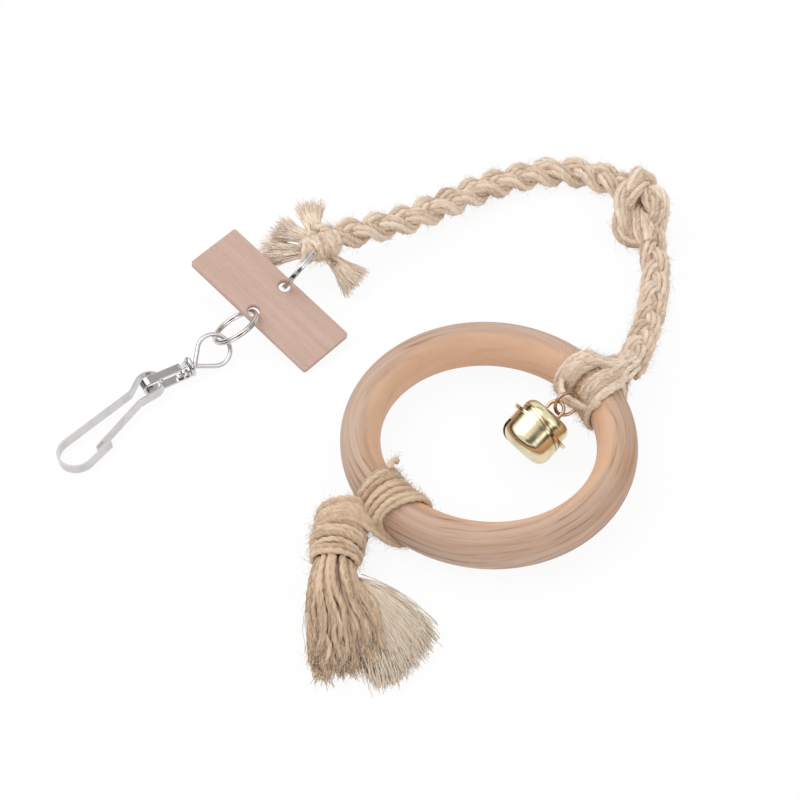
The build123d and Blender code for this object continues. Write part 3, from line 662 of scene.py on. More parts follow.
@dataclass(frozen=True)
class Metal:
    """Bright metal with smudges, small dents and, beside a seam, painted shade."""

    name: str
    clean: tuple
    worn: tuple
    roughness: tuple
    dent: float
    seam: tuple | None = None

    def material(self) -> bpy.types.Material:
        """Builds the finish: smudges change its colour and gloss, dents its slope.

        Returns:
            The material.
        """
        nodes = Nodes.named(self.name)
        place = nodes.place()
        smudge = nodes.noise(place, 260.0, 5.0)
        speck = nodes.noise(place, 1900.0, 3.0)
        waves = nodes.noise(place, 420.0, 2.0)
        mixed = smudge * 0.86 + speck * 0.14
        colour = nodes.ramp(mixed, (0.36, self.worn), (0.56, self.clean))
        if self.seam:
            # Painted shade: the colour is darkened in the creases beside the seam.
            colour = nodes.tint(colour, (1.0, self._painted_seam_shade(nodes, place)))
        low, high = self.roughness
        nodes.dress(Base_Color=colour, Roughness=nodes.ramp(mixed, (0.35, high), (0.6, low)), Metallic=1.0)
        nodes.bump(waves * 0.8 + speck * 0.02, self.dent, 0.5)
        return nodes.owner

    def _painted_seam_shade(self, nodes: Nodes, place: Signal) -> Signal:
        """Painted shade in the corners beside a seam: dark where the distance from the seam's plane is 0.3 to 0.8 mm.

        Args:
            nodes: The metal's nodes.
            place: The place on the piece.

        Returns:
            A colour to multiply by.
        """
        centre, way = self.seam
        away = nodes.out("VectorMath", 0, place, centre, operation="SUBTRACT")
        along = nodes.out("VectorMath", "Value", away, way, operation="DOT_PRODUCT")
        return nodes.ramp(nodes.math("ABSOLUTE", along) * 500.0, (0.12, 1), (0.17, (0.3, 0.24, 0.16)), (0.42, 1))


@dataclass(frozen=True)
class Paper:
    """Plain pale floor. It is plain white to the camera and to mirrors, but keeps the object's shadow."""

    name: str = "studio_floor"
    lifted: float = 0.92

    def material(self) -> bpy.types.Material:
        """Builds the finish: a matt white that is lifted for the rays that see the background.

        Returns:
            The material.
        """
        nodes = Nodes.named(self.name)
        nodes.dress(Base_Color=(0.93, 0.93, 0.94), Roughness=0.9, Specular_IOR_Level=0.1)
        nodes.whiten(nodes.out("Emission", 0, Strength=1.0), self.lifted)
        return nodes.owner


@dataclass(frozen=True)
class DarkCard:
    """Matt black card that may glow a little."""

    name: str
    glow: float

    def material(self) -> bpy.types.Material:
        """Builds the finish.

        Returns:
            The material.
        """
        nodes = Nodes.named(self.name)
        nodes.dress(
            Base_Color=(0.03, 0.03, 0.035), Roughness=1.0, Emission_Color=(1, 1, 1), Emission_Strength=self.glow
        )
        return nodes.owner


# ---------------------------------------------------------------- studio
@dataclass
class Studio:
    """Camera, soft lamps, world, floor and cards, from the photograph's viewing angle."""

    target: tuple = (14.05e-3, 9.20e-3, 2.0e-3)
    eye: tuple = (14.05e-3, -261.32e-3, 325.76e-3)
    lens: float = 67.5
    sensor: float = 36.0
    world_light: float = 0.78
    floor_half: float = 900.0
    floor_height: float = -0.02
    lamps: tuple = (("window", (-0.55, 0.15, 0.95), 0.9, 4.8), ("fill", (0.6, -0.6, 0.8), 0.8, 1.6))
    card_distance: float = 620.0
    cards: tuple = (
        ("card_front", -90.0, 62.0, 20.0, 270.0, 0.0),
        ("card_camera", -90.0, 24.0, 430.0, 900.0, 0.05),
        ("card_right", 20.0, 38.0, 30.0, 270.0, 0.0),
        ("card_left", 165.0, 42.0, 30.0, 270.0, 0.0),
        ("card_back", 90.0, 26.0, 560.0, 900.0, 0.4),
    )

    def build(self) -> None:
        """Makes everything that isn't the object."""
        self._camera()
        self._world()
        self._floor()
        self._lamps()
        self._cards()
        bpy.context.scene.view_settings.view_transform = "Standard"

    def _aim(self, name: str, data: bpy.types.ID, place: tuple, target: tuple) -> bpy.types.Object:
        """Sets up a camera or a lamp.

        Args:
            name: Its name.
            data: The camera or the lamp.
            place: Where it stands, in metres.
            target: What it looks at, in metres.

        Returns:
            Its object.
        """
        made = new_object(name, data)
        made.location = place
        made.rotation_mode = "QUATERNION"
        made.rotation_quaternion = (Vector(target) - Vector(place)).to_track_quat("-Z", "Y")
        return made

    def _camera(self) -> None:
        """Camera at the photograph's height and distance."""
        data = bpy.data.cameras.new("photo_camera")
        data.lens = self.lens
        data.sensor_width = self.sensor
        data.clip_start, data.clip_end = 0.01, 10.0
        bpy.context.scene.camera = self._aim("photo_camera", data, self.eye, self.target)

    def _world(self) -> None:
        """Even light, and plain white for camera, mirror and glass rays."""
        world = bpy.data.worlds.new("studio")
        bpy.context.scene.world = world
        nodes = Nodes(world, "Background")
        nodes.dress(Color=(1, 1, 1), Strength=self.world_light)
        nodes.whiten(nodes.out("Background", 0, Color=(1, 1, 1), Strength=1.0), 1.0)

    def _floor(self) -> None:
        """White sheet under everything, a little below zero so that nothing touches it."""
        x, y = np.meshgrid(*[[-self.floor_half, self.floor_half]] * 2)
        points = np.stack([x.ravel(), y.ravel(), np.full(4, self.floor_height)], axis=1)
        mesh_piece("floor", points, np.array([[0, 1, 3, 2]]), Paper().material())

    def _lamps(self) -> None:
        """One large soft lamp from the upper left, and a weaker one from the right."""
        for name, place, size, power in self.lamps:
            data = bpy.data.lights.new(name, "AREA")
            data.shape = "SQUARE"
            data.size = size
            data.energy = power
            self._aim(name, data, place, (0, 0, 0))

    def _cards(self) -> None:
        """Four dark cards and a grey one, bent round the table. Only mirrors see them, and metal gets dark sides."""
        for name, azimuth, wide, low, high, glow in self.cards:
            turn = np.radians(np.linspace(azimuth - wide, azimuth + wide, 9))
            ring = self.card_distance * np.stack([np.cos(turn), np.sin(turn), np.zeros(9)], axis=1)
            i = np.arange(8)
            faces = np.stack([i, i + 1, i + 10, i + 9], axis=1)
            points = np.vstack([ring + UP * low, ring + UP * high])
            card = mesh_piece(name, points, faces, DarkCard(name, glow).material())
            card.visible_camera = False
            card.visible_diffuse = False
            card.visible_shadow = False
            card.visible_transmission = False


# ---------------------------------------------------------------- soft pieces
@dataclass(frozen=True)
class Finish:
    """Finish of a soft piece, with the record's slot that it stands for."""

    material: bpy.types.Material
    slot: str = "jute"


def show(
    threads: Threads, node: str, kind: str, body: str, finish: Finish, hairs: int = 0
) -> tuple[bpy.types.Object, bpy.types.Object | None]:
    """Shows threads in place of a node, with some loose fibres as a piece of their own.

    Args:
        threads: The threads.
        node: The node that they replace, whose name starts the pieces' names.
        kind: The end of the threads' name.
        body: The body that both pieces ride on.
        finish: Their finish.
        hairs: Number of loose fibres, which also seeds them.

    Returns:
        The threads' piece, and the loose fibres' piece where there are any.
    """
    piece = threads.piece(f"{node}_{kind}", finish.material)
    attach(piece, body)
    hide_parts(node)
    LOG.info("%s: %d vertices", node, threads.total)
    if not hairs:
        return piece, None
    name = node + "_hair"
    hair = threads.loose_fibres(hairs, len(name) + hairs).piece(name, finish.material)
    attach(hair, body)
    return piece, hair


@dataclass
class Plait:
    """Three-strand plait. Strand k sits at side = a * sin(phase), height = b * sin(2 * phase), with the three phases a
    third of a turn apart; its yarns lie round an oval that turns slowly along it."""

    strands: int = 3
    yarns: int = 6
    yarn_radius: float = 0.76
    swing: float = 2.05
    lift: float = 1.55
    oval: tuple = (1.5, 1.05)
    pitch: float = 27.0
    lay: float = 40.0

    def lines(self, line: np.ndarray, hint: np.ndarray = UP, scale: float = 1.0, start: float = 0.0) -> np.ndarray:
        """Centre lines of all yarns.

        Args:
            line: The rope's own centre line.
            hint: Vector that the plait's flat side faces.
            scale: Share of the full width.
            start: Share of a pitch that the plait has run at the line's start.

        Returns:
            Lines shaped (strands * yarns, points, 3).
        """
        _, side, top = frames(line, hint)
        run = run_along(line)
        apart = np.arange(self.strands)[:, None] * TURN / self.strands
        phase = (TURN * (run / self.pitch + start)[None, :] + apart)[..., None]
        strands = line + scale * (self.swing * np.sin(phase) * side + self.lift * np.sin(2 * phase) * top)
        _, side, top = (vectors[:, None] for vectors in frames(strands, top))
        place = TURN * run / self.lay + (np.arange(self.yarns) * TURN / self.yarns)[:, None]
        wide, high = self.oval
        round_strand = wide * np.cos(place)[..., None] * side + high * np.sin(place)[..., None] * top
        return (strands[:, None] + scale * round_strand).reshape(-1, len(line), 3)


def cord_spline(name: str, points: tuple) -> np.ndarray:
    """Smooth line of a cord's route: a NURBS spline of order 3, read back as Blender gives it.

    Args:
        name: Name for the short-lived curve.
        points: The route's given points, in millimetres from the perch ring's centre.

    Returns:
        Points of the line, in the same millimetres.
    """
    data = bpy.data.curves.new(name, "CURVE")
    data.dimensions = "3D"
    spline = data.splines.new("NURBS")
    spline.points.add(len(points) - 1)
    spline.points.foreach_set("co", np.hstack([row(points), np.ones((len(points), 1))]).ravel())
    spline.order_u = 3
    spline.use_endpoint_u = True
    spline.resolution_u = 24
    holder = new_object(name, data)
    bpy.context.view_layer.update()
    mesh = bpy.data.meshes.new_from_object(holder.evaluated_get(bpy.context.evaluated_depsgraph_get()))
    line = np.zeros(len(mesh.vertices) * 3)
    mesh.vertices.foreach_get("co", line)
    bpy.data.objects.remove(holder)
    bpy.data.meshes.remove(mesh)
    return line.reshape(-1, 3) / MM - BASE_SHIFT


@dataclass
class Tuft:
    """A frayed cut end: where it starts and ends, how far it opens, and its number of whole yarns."""

    name: str
    root: tuple
    tip: tuple
    spread: float
    yarns: int
    seed: int
    full_from: int = 10
    fibres: int = 620

    @property
    def full(self) -> bool:
        """Whether it is mostly whole yarns, which are darker than combed fibres."""
        return self.yarns > self.full_from

    def _spray(self, along: np.ndarray, aside: np.ndarray, place: np.ndarray, flat: float) -> np.ndarray:
        """Lines from the root: root + along * run + aside * (cos(place) * side + flat * sin(place) * top).

        Args:
            along: Share of the run at each point.
            aside: Distance from the middle at each point.
            place: Angle of each line round the middle.
            flat: Height of the bundle as a share of its width.

        Returns:
            Points shaped (lines, points, 3).
        """
        root = np.array(self.root)
        run = np.array(self.tip) - root
        side = unit(np.cross(UP, run))
        top = unit(np.cross(run, side))
        across = (aside * np.cos(place))[..., None] * side
        return root + along[..., None] * run + across + (aside * flat * np.sin(place))[..., None] * top

    def threads(self) -> Threads:
        """Yarns that open into fine fibres, their distance from the middle growing as along ** 1.4.

        Returns:
            The yarns and the fibres.
        """
        threads = Threads(self.seed)
        rng, count = threads.rng, (self.yarns, 1)
        t = np.linspace(0, 1, 14)[None, :]
        place = rng.uniform(0, TURN, count)
        reach = np.sqrt(rng.uniform(0.05, 1, count))
        cut = rng.uniform(0.62, 0.82, count) + (0.16 if self.full else 0.0)
        open_by = 1.1 + (self.spread * 0.55 - 1.1) * t**1.4
        lines = self._spray(t * cut, reach * open_by, place, 0.7)
        threads.add(above(lines, 1.0), 0.72 * (1 - 0.25 * t), Spin.CUT)
        count = (self.fibres, 1)
        place = rng.uniform(0, TURN, count)
        reach = np.sqrt(rng.uniform(0, 1, count))
        begin = rng.uniform(0.3, 0.66, count)
        end = rng.uniform(0.78, 1.08, count)
        t = np.linspace(0, 1, 7)[None, :]
        along = begin + (end - begin) * t
        open_by = 1.3 + (self.spread - 1.3) * along**1.4
        stray = rng.normal(0, 0.5, (self.fibres, 1, 3)) * (t**2)[..., None]
        lines = above(self._spray(along, reach * open_by, place, 0.6) + stray, 0.3)
        threads.add(lines, 0.14 * (1 - 0.4 * t), sides=4, shade=rng.uniform(0.6, 1.3, self.fibres))
        return threads


# ---------------------------------------------------------------- plaited rope
@dataclass
class Rope:
    """The two stretches of plaited rope, the overhand knot between them and the tied end with its tufts."""

    finish: Finish
    pale: Finish
    diameter: float = 8.0
    hairs_per_mm: int = 40
    tie_centre: tuple = (-49.2, 69.4, 13.4)
    tie_azimuth: float = 25.0
    tie_end: tuple = (-44.6, 74.2, 12.6)
    tie_turns: tuple = ((-2.0, 0.5, 2.9, 2.8), (0.4, -0.4, 3.3, 3.1), (2.6, 0.6, 3.5, 3.2), (4.6, -0.3, 3.2, 3.0))
    upper_route: tuple = (
        (-47.7, 72.7, 13.0),
        (-34.1, 79.4, 10.8),
        (-20.2, 86.9, 8.4),
        (-5.7, 98.5, 6.2),
        (9.5, 108.7, 4.6),
        (23.5, 113.3, 4.2),
        (35.3, 112.5, 4.6),
        (43.2, 106.4, 6.0),
        (48.8, 100.6, 7.2),
    )
    lower_route: tuple = (
        (52.4, 81.6, 6.8),
        (53.4, 71.8, 4.9),
        (52.1, 60.9, 4.2),
        (49.7, 50.4, 4.6),
        (46.0, 38.9, 6.8),
        (42.6, 29.7, 9.8),
        (39.8, 22.8, 12.5),
    )
    knot_route: tuple = (
        (42.6, 107.6, 5.8),
        (46.6, 104.8, 5.2),
        (50.6, 101.4, 7.2),
        (53.8, 95.6, 10.6),
        (55.0, 89.4, 11.4),
        (54.8, 84.4, 8.6),
        (52.4, 82.2, 4.8),
        (48.6, 82.0, 4.2),
        (45.6, 83.2, 5.8),
        (44.4, 87.0, 9.6),
        (45.8, 92.4, 12.2),
        (49.0, 98.2, 12.8),
        (52.2, 102.8, 10.8),
        (53.8, 103.6, 6.6),
        (52.6, 99.0, 4.4),
        (50.8, 92.4, 5.8),
        (51.0, 85.0, 8.4),
        (52.4, 77.0, 7.0),
    )
    tufts: tuple = (
        Tuft("tuft_top", (-49.2, 74.0, 11.0), (-51.8, 91.0, 9.0), 4.6, 6, 40),
        Tuft("tuft_left", (-46.6, 71.4, 12.8), (-60.6, 81.8, 9.0), 4.6, 20, 41),
        Tuft("tuft_left_low", (-48.0, 70.6, 10.5), (-65.0, 75.2, 4.6), 6.4, 6, 42),
        Tuft("tuft_right", (-46.4, 70.0, 11.0), (-37.0, 64.6, 3.2), 6.0, 6, 43),
    )

    def build(self) -> None:
        """Makes the rope from the hook's end to the perch ring."""
        self._stretch("rope_upper", self.upper_route, 11, 0.1, 1.16)
        self._stretch("rope_lower", self.lower_route, 12, 0.42, 1.03)
        self._knot()
        self._tie()
        for tuft in self.tufts:
            show(tuft.threads(), tuft.name, "fibres", ROPE_END, self.finish if tuft.full else self.pale)

    def _stretch(self, node: str, route: tuple, seed: int, start: float, width: float) -> None:
        """One plaited stretch along a cord's spline, whose real length is logged.

        Args:
            node: The stretch's node. Its body is the node's own end of the rope.
            route: The cord's given points.
            seed: Seed of its waves.
            start: Share of a pitch that the plait has run at its start.
            width: Share of the plait's full width.
        """
        spline = cord_spline(node + "_line", route)
        line = resample(spline, PLAIT_STEP)
        threads, plait = Threads(seed), Plait()
        lines = plait.lines(line, scale=width, start=start)
        lines += threads.ripple(len(line), 9, len(lines))[..., None] * 0.12
        threads.add(lines, plait.yarn_radius * width, Spin.PLAITED)
        length = float(run_along(spline)[-1])
        piece, hair = show(threads, node, "plait", node + "_end", self.finish, int(length * self.hairs_per_mm))
        LOG.info("%s: %.1f mm, %d yarns", node, length, len(lines))

    def _knot(self) -> None:
        """Overhand knot of the plait: it passes under, over, under, over, under and over itself."""
        line = smooth_line(self.knot_route, PLAIT_STEP)
        threads = Threads(21)
        plait = Plait(swing=1.85, lift=1.3, oval=(1.5, 1.0), yarn_radius=0.8, pitch=44.0, lay=90.0)
        hint = np.array([0.35, 0.1, 1.0])
        lines = plait.lines(line, hint=hint, scale=0.98)
        lines += threads.ripple(len(line), 7, len(lines))[..., None] * 0.14
        threads.add(lines, plait.yarn_radius, Spin.SLACK, hint=hint)
        show(threads, "rope_knot", "plait", ROPE_END, self.finish, 2600)

    def _tie(self) -> None:
        """Strands tied round the upper split ring: four slanting turns of four yarns each over the rope's end.

        A yarn is centre + (offset + tilt * cos(angle)) * along + wide * cos(angle) * across + high * sin(angle) * up.
        """
        threads = Threads(31)
        centre, along = np.array(self.tie_centre), heading(self.tie_azimuth)
        across = np.cross(UP, along)
        for turn, (shift, tilt, wide, high) in enumerate(self.tie_turns):
            angle = np.linspace(0, TURN, 44) + turn * 0.9
            for yarn in range(4):
                offset = shift + (yarn - 1.5) * 0.85
                ring = (
                    centre
                    - 0.7 * across
                    + (offset + tilt * 3.2 * np.cos(angle + 0.5 * yarn))[:, None] * along
                    + (wide * np.cos(angle))[:, None] * across
                    + (high * np.sin(angle))[:, None] * UP
                )
                ring += threads.ripple(len(angle), 3)[0][:, None] * 0.15
                threads.add(ring, 0.85, Spin.SLACK, hint=along)
        core = smooth_line([centre - along * 4.0, centre, self.tie_end])
        threads.add(Plait(pitch=30.0, lay=50.0).lines(core), 0.8, Spin.SLACK)
        show(threads, "rope_tie", "turns", ROPE_END, self.finish, 900)


# ---------------------------------------------------------------- yarn on the perch ring
@dataclass(frozen=True)
class Winding:
    """Turns of yarn wound on the perch ring side by side.

    Outside the ring, by a share of (0.5 + 0.5 * cos(angle - shift)) ** power, they close up by a share of their
    spacing, lean by some degrees, and every second one climbs on its neighbours.
    """

    node: str
    seed: int
    middle: float
    turns: int
    lean: float
    close: float
    climb: float
    gap: float
    sway: float
    swell: float
    stations: int
    hairs: int
    shift: float = 0.0
    power: float = 1.0


@dataclass
class RingYarn:
    """Yarn wound on the perch ring: the rope's two wraps with their gather and bight, and the tassel's wrap."""

    finish: Finish
    golden: Finish
    section_radius: float = 34.55
    middle_height: float = 9.1
    half_width: float = 5.45
    half_height: float = 7.1
    yarn: float = 0.8
    spacing: float = 2.75
    gather_yarn: float = 0.72
    gather_count: int = 24
    belly_count: int = 10
    bight_yarn: float = 0.75
    bow: float = 5.2
    lowest: float = 0.95
    leaves_at: float = 29.8
    rope_end: tuple = (41.2, 25.6, 12.2)
    left: Winding = Winding("ring_wrap_left", 51, 40.5, 5, -4.4, 0.45, 0.35, 0.12, 0.35, 0.12, 90, 900)
    right: Winding = Winding("ring_wrap_right", 52, 21.5, 5, 4.4, 0.45, 0.35, 0.12, 0.35, 0.12, 90, 900)
    tassel: Winding = Winding("tassel_ring_wrap", 63, 222.0, 11, -4.0, 0.52, 0.9, 0.1, 0.4, 0.15, 100, 1700, 0.35, 1.2)
    loose_yarn: tuple = ((-26.5, -16.5, 17.6), (-26.0, -14.4, 18.0), (-24.9, -13.4, 17.4), (-24.6, -12.9, 16.2))

    def build(self) -> None:
        """Makes every wrap."""
        for winding in (self.left, self.right):
            self._finish(self._wind(winding), winding.node, self.finish, winding.hairs)
        self._gather()
        self._bight()
        threads = self._wind(self.tassel)
        threads.add(smooth_line(self.loose_yarn, 0.4), self.yarn, Spin.WOUND, ROUND_SIDES, shade=0.9)
        self._finish(threads, self.tassel.node, self.golden, self.tassel.hairs)

    def around(self, azimuth: np.ndarray, angle: np.ndarray, off: np.ndarray | float) -> np.ndarray:
        """Points at an angle round the ring's oval section: 0 is outwards and a quarter turn is up.

        Args:
            azimuth: Degrees round the ring.
            angle: Radians round its section.
            off: Distance from its surface.

        Returns:
            Points, in millimetres from the ring's centre.
        """
        radius = self.section_radius + (self.half_width + off) * np.cos(angle)
        height = self.middle_height + (self.half_height + off) * np.sin(angle)
        turn = np.radians(azimuth)
        return np.stack(np.broadcast_arrays(radius * np.cos(turn), radius * np.sin(turn), height), axis=-1)

    def _tangent(self, azimuth: float) -> np.ndarray:
        """Direction round the ring at an azimuth."""
        return heading(azimuth + 90.0)

    def _finish(self, threads: Threads, node: str, finish: Finish, hairs: int) -> None:
        """Shows threads on the perch in a node's place."""
        show(threads, node, "yarn", "perch", finish, hairs)

    def _wind(self, winding: Winding) -> Threads:
        """Threads of one winding.

        Args:
            winding: Where its turns lie.

        Returns:
            Its turns.
        """
        threads = Threads(winding.seed)
        angle = np.linspace(-0.25 * TURN, 0.75 * TURN, winding.stations)
        outer = (0.5 + 0.5 * np.cos(angle - winding.shift)) ** winding.power
        for turn in range(winding.turns):
            step = (turn - (winding.turns - 1) / 2) * self.spacing
            azimuth = winding.middle + step * (1 - winding.close * outer) + winding.lean * outer
            azimuth += threads.ripple(len(angle), 2)[0] * winding.sway
            off = self.yarn + winding.gap + winding.climb * outer * (turn % 2)
            off += np.abs(threads.ripple(len(angle), 3)[0]) * winding.swell
            line = above(self.around(azimuth, angle, off), self.lowest)
            threads.add(line, self.yarn, Spin.WOUND, ROUND_SIDES, self._tangent(winding.middle))
        return threads

    def _gather(self) -> None:
        """Groups of yarn that open from the rope's end over the ring's shoulder into both wraps."""
        threads = Threads(61)
        end = np.array(self.rope_end)
        for number, share in enumerate(np.linspace(-1, 1, self.gather_count)):
            side = 1 if share > 0 else -1
            azimuth = self.leaves_at + side * 4.2 + share * 8.0 + threads.rng.uniform(-0.6, 0.6)
            c, s = math.cos(number * 2.4), math.sin(number * 2.4)
            spots = [
                end + 2.4 * np.array([c * 0.6, -c, s]),
                self._at(self.leaves_at + share * 6.5, 0.62, 2.0 + 1.0 * s + threads.rng.uniform(-0.2, 0.2)),
                self._at(azimuth, 1.42, 1.05 + 0.35 * s),
                self._at(azimuth + side * 1.2, 2.3, 0.95),
                self._at(azimuth + side * 1.6, 2.9, 0.8),
            ]
            line = smooth_line(spots)
            line = line + threads.ripple(len(line), 2, 3).T * 0.16
            threads.add(line, self.gather_yarn, Spin.WOUND, hint=self._tangent(azimuth))
        for spin in np.arange(self.belly_count) * 0.95:
            wave = math.sin(spin * 2)
            start = end + 2.2 * np.array([math.cos(spin), math.sin(spin), -0.8])
            belly = self._at(self.leaves_at + 5.0 * wave, 0.15, 2.5)
            bottom = self._at(self.leaves_at + 9.0 * wave, -0.5, 1.0)
            line = smooth_line([start, belly, bottom])
            threads.add(line, self.gather_yarn, Spin.WOUND, hint=self._tangent(30.0))
        self._finish(threads, "rope_gather", self.finish, 1300)

    def _at(self, azimuth: float, angle: float, off: float) -> np.ndarray:
        """One point round the ring's section, off its surface."""
        return self.around(np.array([azimuth]), np.array([angle]), off)[0]

    def _bight(self) -> None:
        """Three yarns, side by side, that come from the wraps' inner sides and bow into the ring's hole."""
        threads = Threads(62)
        for shift, height in ((0.0, 12.4), (0.5, 11.1), (0.2, 13.6)):
            bow = self.section_radius - self.half_width - self.bow + shift
            points = [self._at(self.leaves_at - 15.5, 2.2, 0.9), self._at(self.leaves_at - 13.0, 2.75, 0.9)]
            for azimuth in (-6.0, 0.0, 6.0):
                turn = math.radians(self.leaves_at + azimuth)
                reach = bow + (0.9 if azimuth else 0.0)
                points.append(np.array([reach * math.cos(turn), reach * math.sin(turn), height]))
            points += [self._at(self.leaves_at + 13.0, 2.75, 0.9), self._at(self.leaves_at + 15.5, 2.2, 0.9)]
            threads.add(smooth_line(points), self.bight_yarn, Spin.WOUND)
        self._finish(threads, "rope_bight", self.finish, 160)


# ---------------------------------------------------------------- tassel
@dataclass
class Tassel:
    """Collar of wound yarn, the bundle inside it, the group that leads to it, and the cut yarns and combed fray."""

    finish: Finish
    pale: Finish
    top: tuple = (-38.5, -24.5, 7.75)
    azimuth: float = -98.0
    collar_length: float = 15.3
    radius: float = 5.8
    end_radius: float = 4.6
    lowest: float = 0.95
    core_count: int = 20
    core_yarn: float = 0.95
    collar_turns: int = 13
    collar_yarn: float = 0.76
    cut_count: int = 88
    cut_yarn: float = 0.74
    silk_radius: float = 0.085
    fray_count: int = 2600
    fray_radius: float = 0.15
    lead_yarns: int = 7
    lead_yarn: float = 0.8
    lead_spacing: float = 1.05
    lead_start: tuple = (-25.5, -28.5, 5.0)
    lead_end: tuple = (-32.5, -26.0, 12.0)
    lead_route: tuple = (
        ((-17.6, -26.2, 0.95), 0.12),
        ((-21.4, -27.0, 1.2), 0.26),
        ((-24.4, -27.6, 3.8), 0.5),
        ((-27.6, -26.9, 7.4), 0.72),
        ((-31.0, -25.8, 11.2), 0.88),
        ((-35.6, -24.2, 14.3), 1.0),
        ((-40.4, -24.4, 14.3), 1.0),
        ((-44.2, -25.2, 11.4), 1.0),
        ((-45.3, -26.0, 7.2), 1.0),
    )

    def build(self) -> None:
        """Makes the tassel's pieces."""
        self._core()
        self._collar()
        self._lead()
        self._yarns()
        self._fray()

    def _place(self, distance: np.ndarray, across: np.ndarray, up: np.ndarray) -> np.ndarray:
        """Points of the tassel's own frame.

        Args:
            distance: How far below its top.
            across: How far aside.
            up: How far above its middle.

        Returns:
            Points, in millimetres from the perch ring's centre.
        """
        along = heading(self.azimuth)
        side = np.cross(UP, along)
        distance, across, up = (array[..., None] for array in np.broadcast_arrays(distance, across, up))
        return np.array(self.top) + distance * along + across * side + up * UP

    def _radius_at(self, distance: np.ndarray) -> np.ndarray:
        """Radius of the bundle: a barrel, widest at mid-length."""
        share = (distance - self.collar_length / 2) / (self.collar_length / 2)
        return self.radius - (self.radius - self.end_radius) * share * share

    def _finish(self, threads: Threads, node: str, finish: Finish, hairs: int) -> None:
        """Shows threads on the tassel in a node's place."""
        show(threads, node, "yarn", "tassel", finish, hairs)

    def _core(self) -> None:
        """Yarns that come round under the perch ring and go down inside the collar."""
        threads = Threads(71)
        lines = []
        for number in range(self.core_count):
            out, spin = math.sqrt((number + 0.5) / self.core_count), number * 2.4
            across, up = out * math.cos(spin), out * math.sin(spin)
            points = [self._place(-1.6 - 0.8 * (0.5 + 0.5 * across), across * 3.2 + 1.2, up * 3.0)]
            for distance in (1.5, 6.0, 11.0, 15.2):
                radius = self._radius_at(distance) - 0.6
                points.append(self._place(distance, across * radius, up * radius))
            lines.append(smooth_line(points, 0.7)[:20])
        threads.add(np.array(lines), self.core_yarn, Spin.SLACK)
        self._finish(threads, "tassel_core", self.finish, 60)

    def _collar(self) -> None:
        """Turns of yarn round the bundle, uneven and a little slanted."""
        threads = Threads(72)
        angle = np.linspace(0, TURN, 72)
        for turn in range(self.collar_turns):
            middle = -0.6 + turn * (self.collar_length - 0.4) / (self.collar_turns - 1)
            slant = threads.rng.uniform(-0.4, 0.4) - 0.5
            distance = middle + slant * np.sin(angle + 0.6) + threads.ripple(len(angle), 2)[0] * 0.3
            lift = np.abs(threads.ripple(len(angle), 2)[0]) * 0.3
            radius = self._radius_at(np.clip(distance, -1.5, self.collar_length)) + 0.55 + lift
            line = above(self._place(distance, radius * np.cos(angle), radius * np.sin(angle)), self.lowest)
            threads.add(line, self.collar_yarn, Spin.COLLAR, ROUND_SIDES, heading(self.azimuth))
        self._finish(threads, "tassel_collar", self.finish, 900)

    def _lead(self) -> None:
        """Group of yarn that comes from under the perch ring, up over the collar's top and round its left side."""
        threads = Threads(75)
        for number in range(self.lead_yarns):
            slip, way = number * self.lead_spacing - 0.6, heading(self.azimuth)
            line = smooth_line([np.array(spot) + slip * share * way for spot, share in self.lead_route])
            line = above(line + threads.ripple(len(line), 2, 3).T * 0.14, 0.9)
            threads.add(line, self.lead_yarn, Spin.WOUND, ROUND_SIDES)
        hair = threads.loose_fibres(420, 76)
        for made, name in ((threads, "tassel_lead_yarn"), (hair, "tassel_lead_hair")):
            piece = made.piece(name, self.finish.material)
            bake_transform(piece)
        LOG.info("tassel lead: %d vertices", threads.total)

    def _bundle(self, threads: Threads, count: int) -> np.ndarray:
        """Centre lines of the cut yarns, shaped (yarns, stations, 3).

        A yarn starts at a random place of the foot's circle. Its place across grows with the spread at each station
        and its height falls to the floor's; its cut end lies at a random share of the length.

        Args:
            threads: Where the random numbers come from.
            count: Number of yarns.

        Returns:
            The lines.
        """
        stations = np.array([0.0, 0.18, 0.42, 0.7, 1.0])
        centres = np.array(
            [(-40.4, -39.0, 7.6), (-40.6, -44.6, 7.2), (-39.0, -52.0, 6.2), (-36.8, -60.0, 4.2), (-35.2, -68.0, 2.8)]
        )
        rng = threads.rng
        spin = rng.uniform(0, TURN, count)
        out = np.sqrt(rng.uniform(0.02, 1, count))
        t = np.linspace(0, 1, 60)
        kernel = np.hanning(13) / np.hanning(13).sum()
        padded = np.pad(between(t, stations, centres), ((6, 6), (0, 0)), mode="reflect", reflect_type="odd")
        centre = np.stack([np.convolve(padded[:, k], kernel, "valid") for k in range(3)], axis=1)
        wide = np.interp(t, stations, [4.6, 6.2, 8.4, 10.4, 11.2])
        high = np.interp(t, stations, [4.6, 5.0, 4.6, 3.3, 2.2])
        side = np.cross(unit(np.gradient(centre, axis=0) * np.array([1, 1, 0])), UP)
        cut = rng.uniform(0.72, 1.0, count)
        cut[rng.integers(0, count, 9)] *= 0.8
        even = np.linspace(0, 1, 44)
        lines = []
        for across, up, share in zip(out * np.cos(spin), out * np.sin(spin), cut):
            line = (
                centre
                + (across * wide + threads.ripple(60, 1.6)[0] * 1.3 * t)[:, None] * side
                + (up * high + threads.ripple(60, 1.4)[0] * 0.6 * t)[:, None] * UP
            )
            line = resample(above(line, 1.05)[: max(int(60 * share), 12)], 0.7)
            lines.append(between(even, np.linspace(0, 1, len(line)), line))
        return np.array(lines)

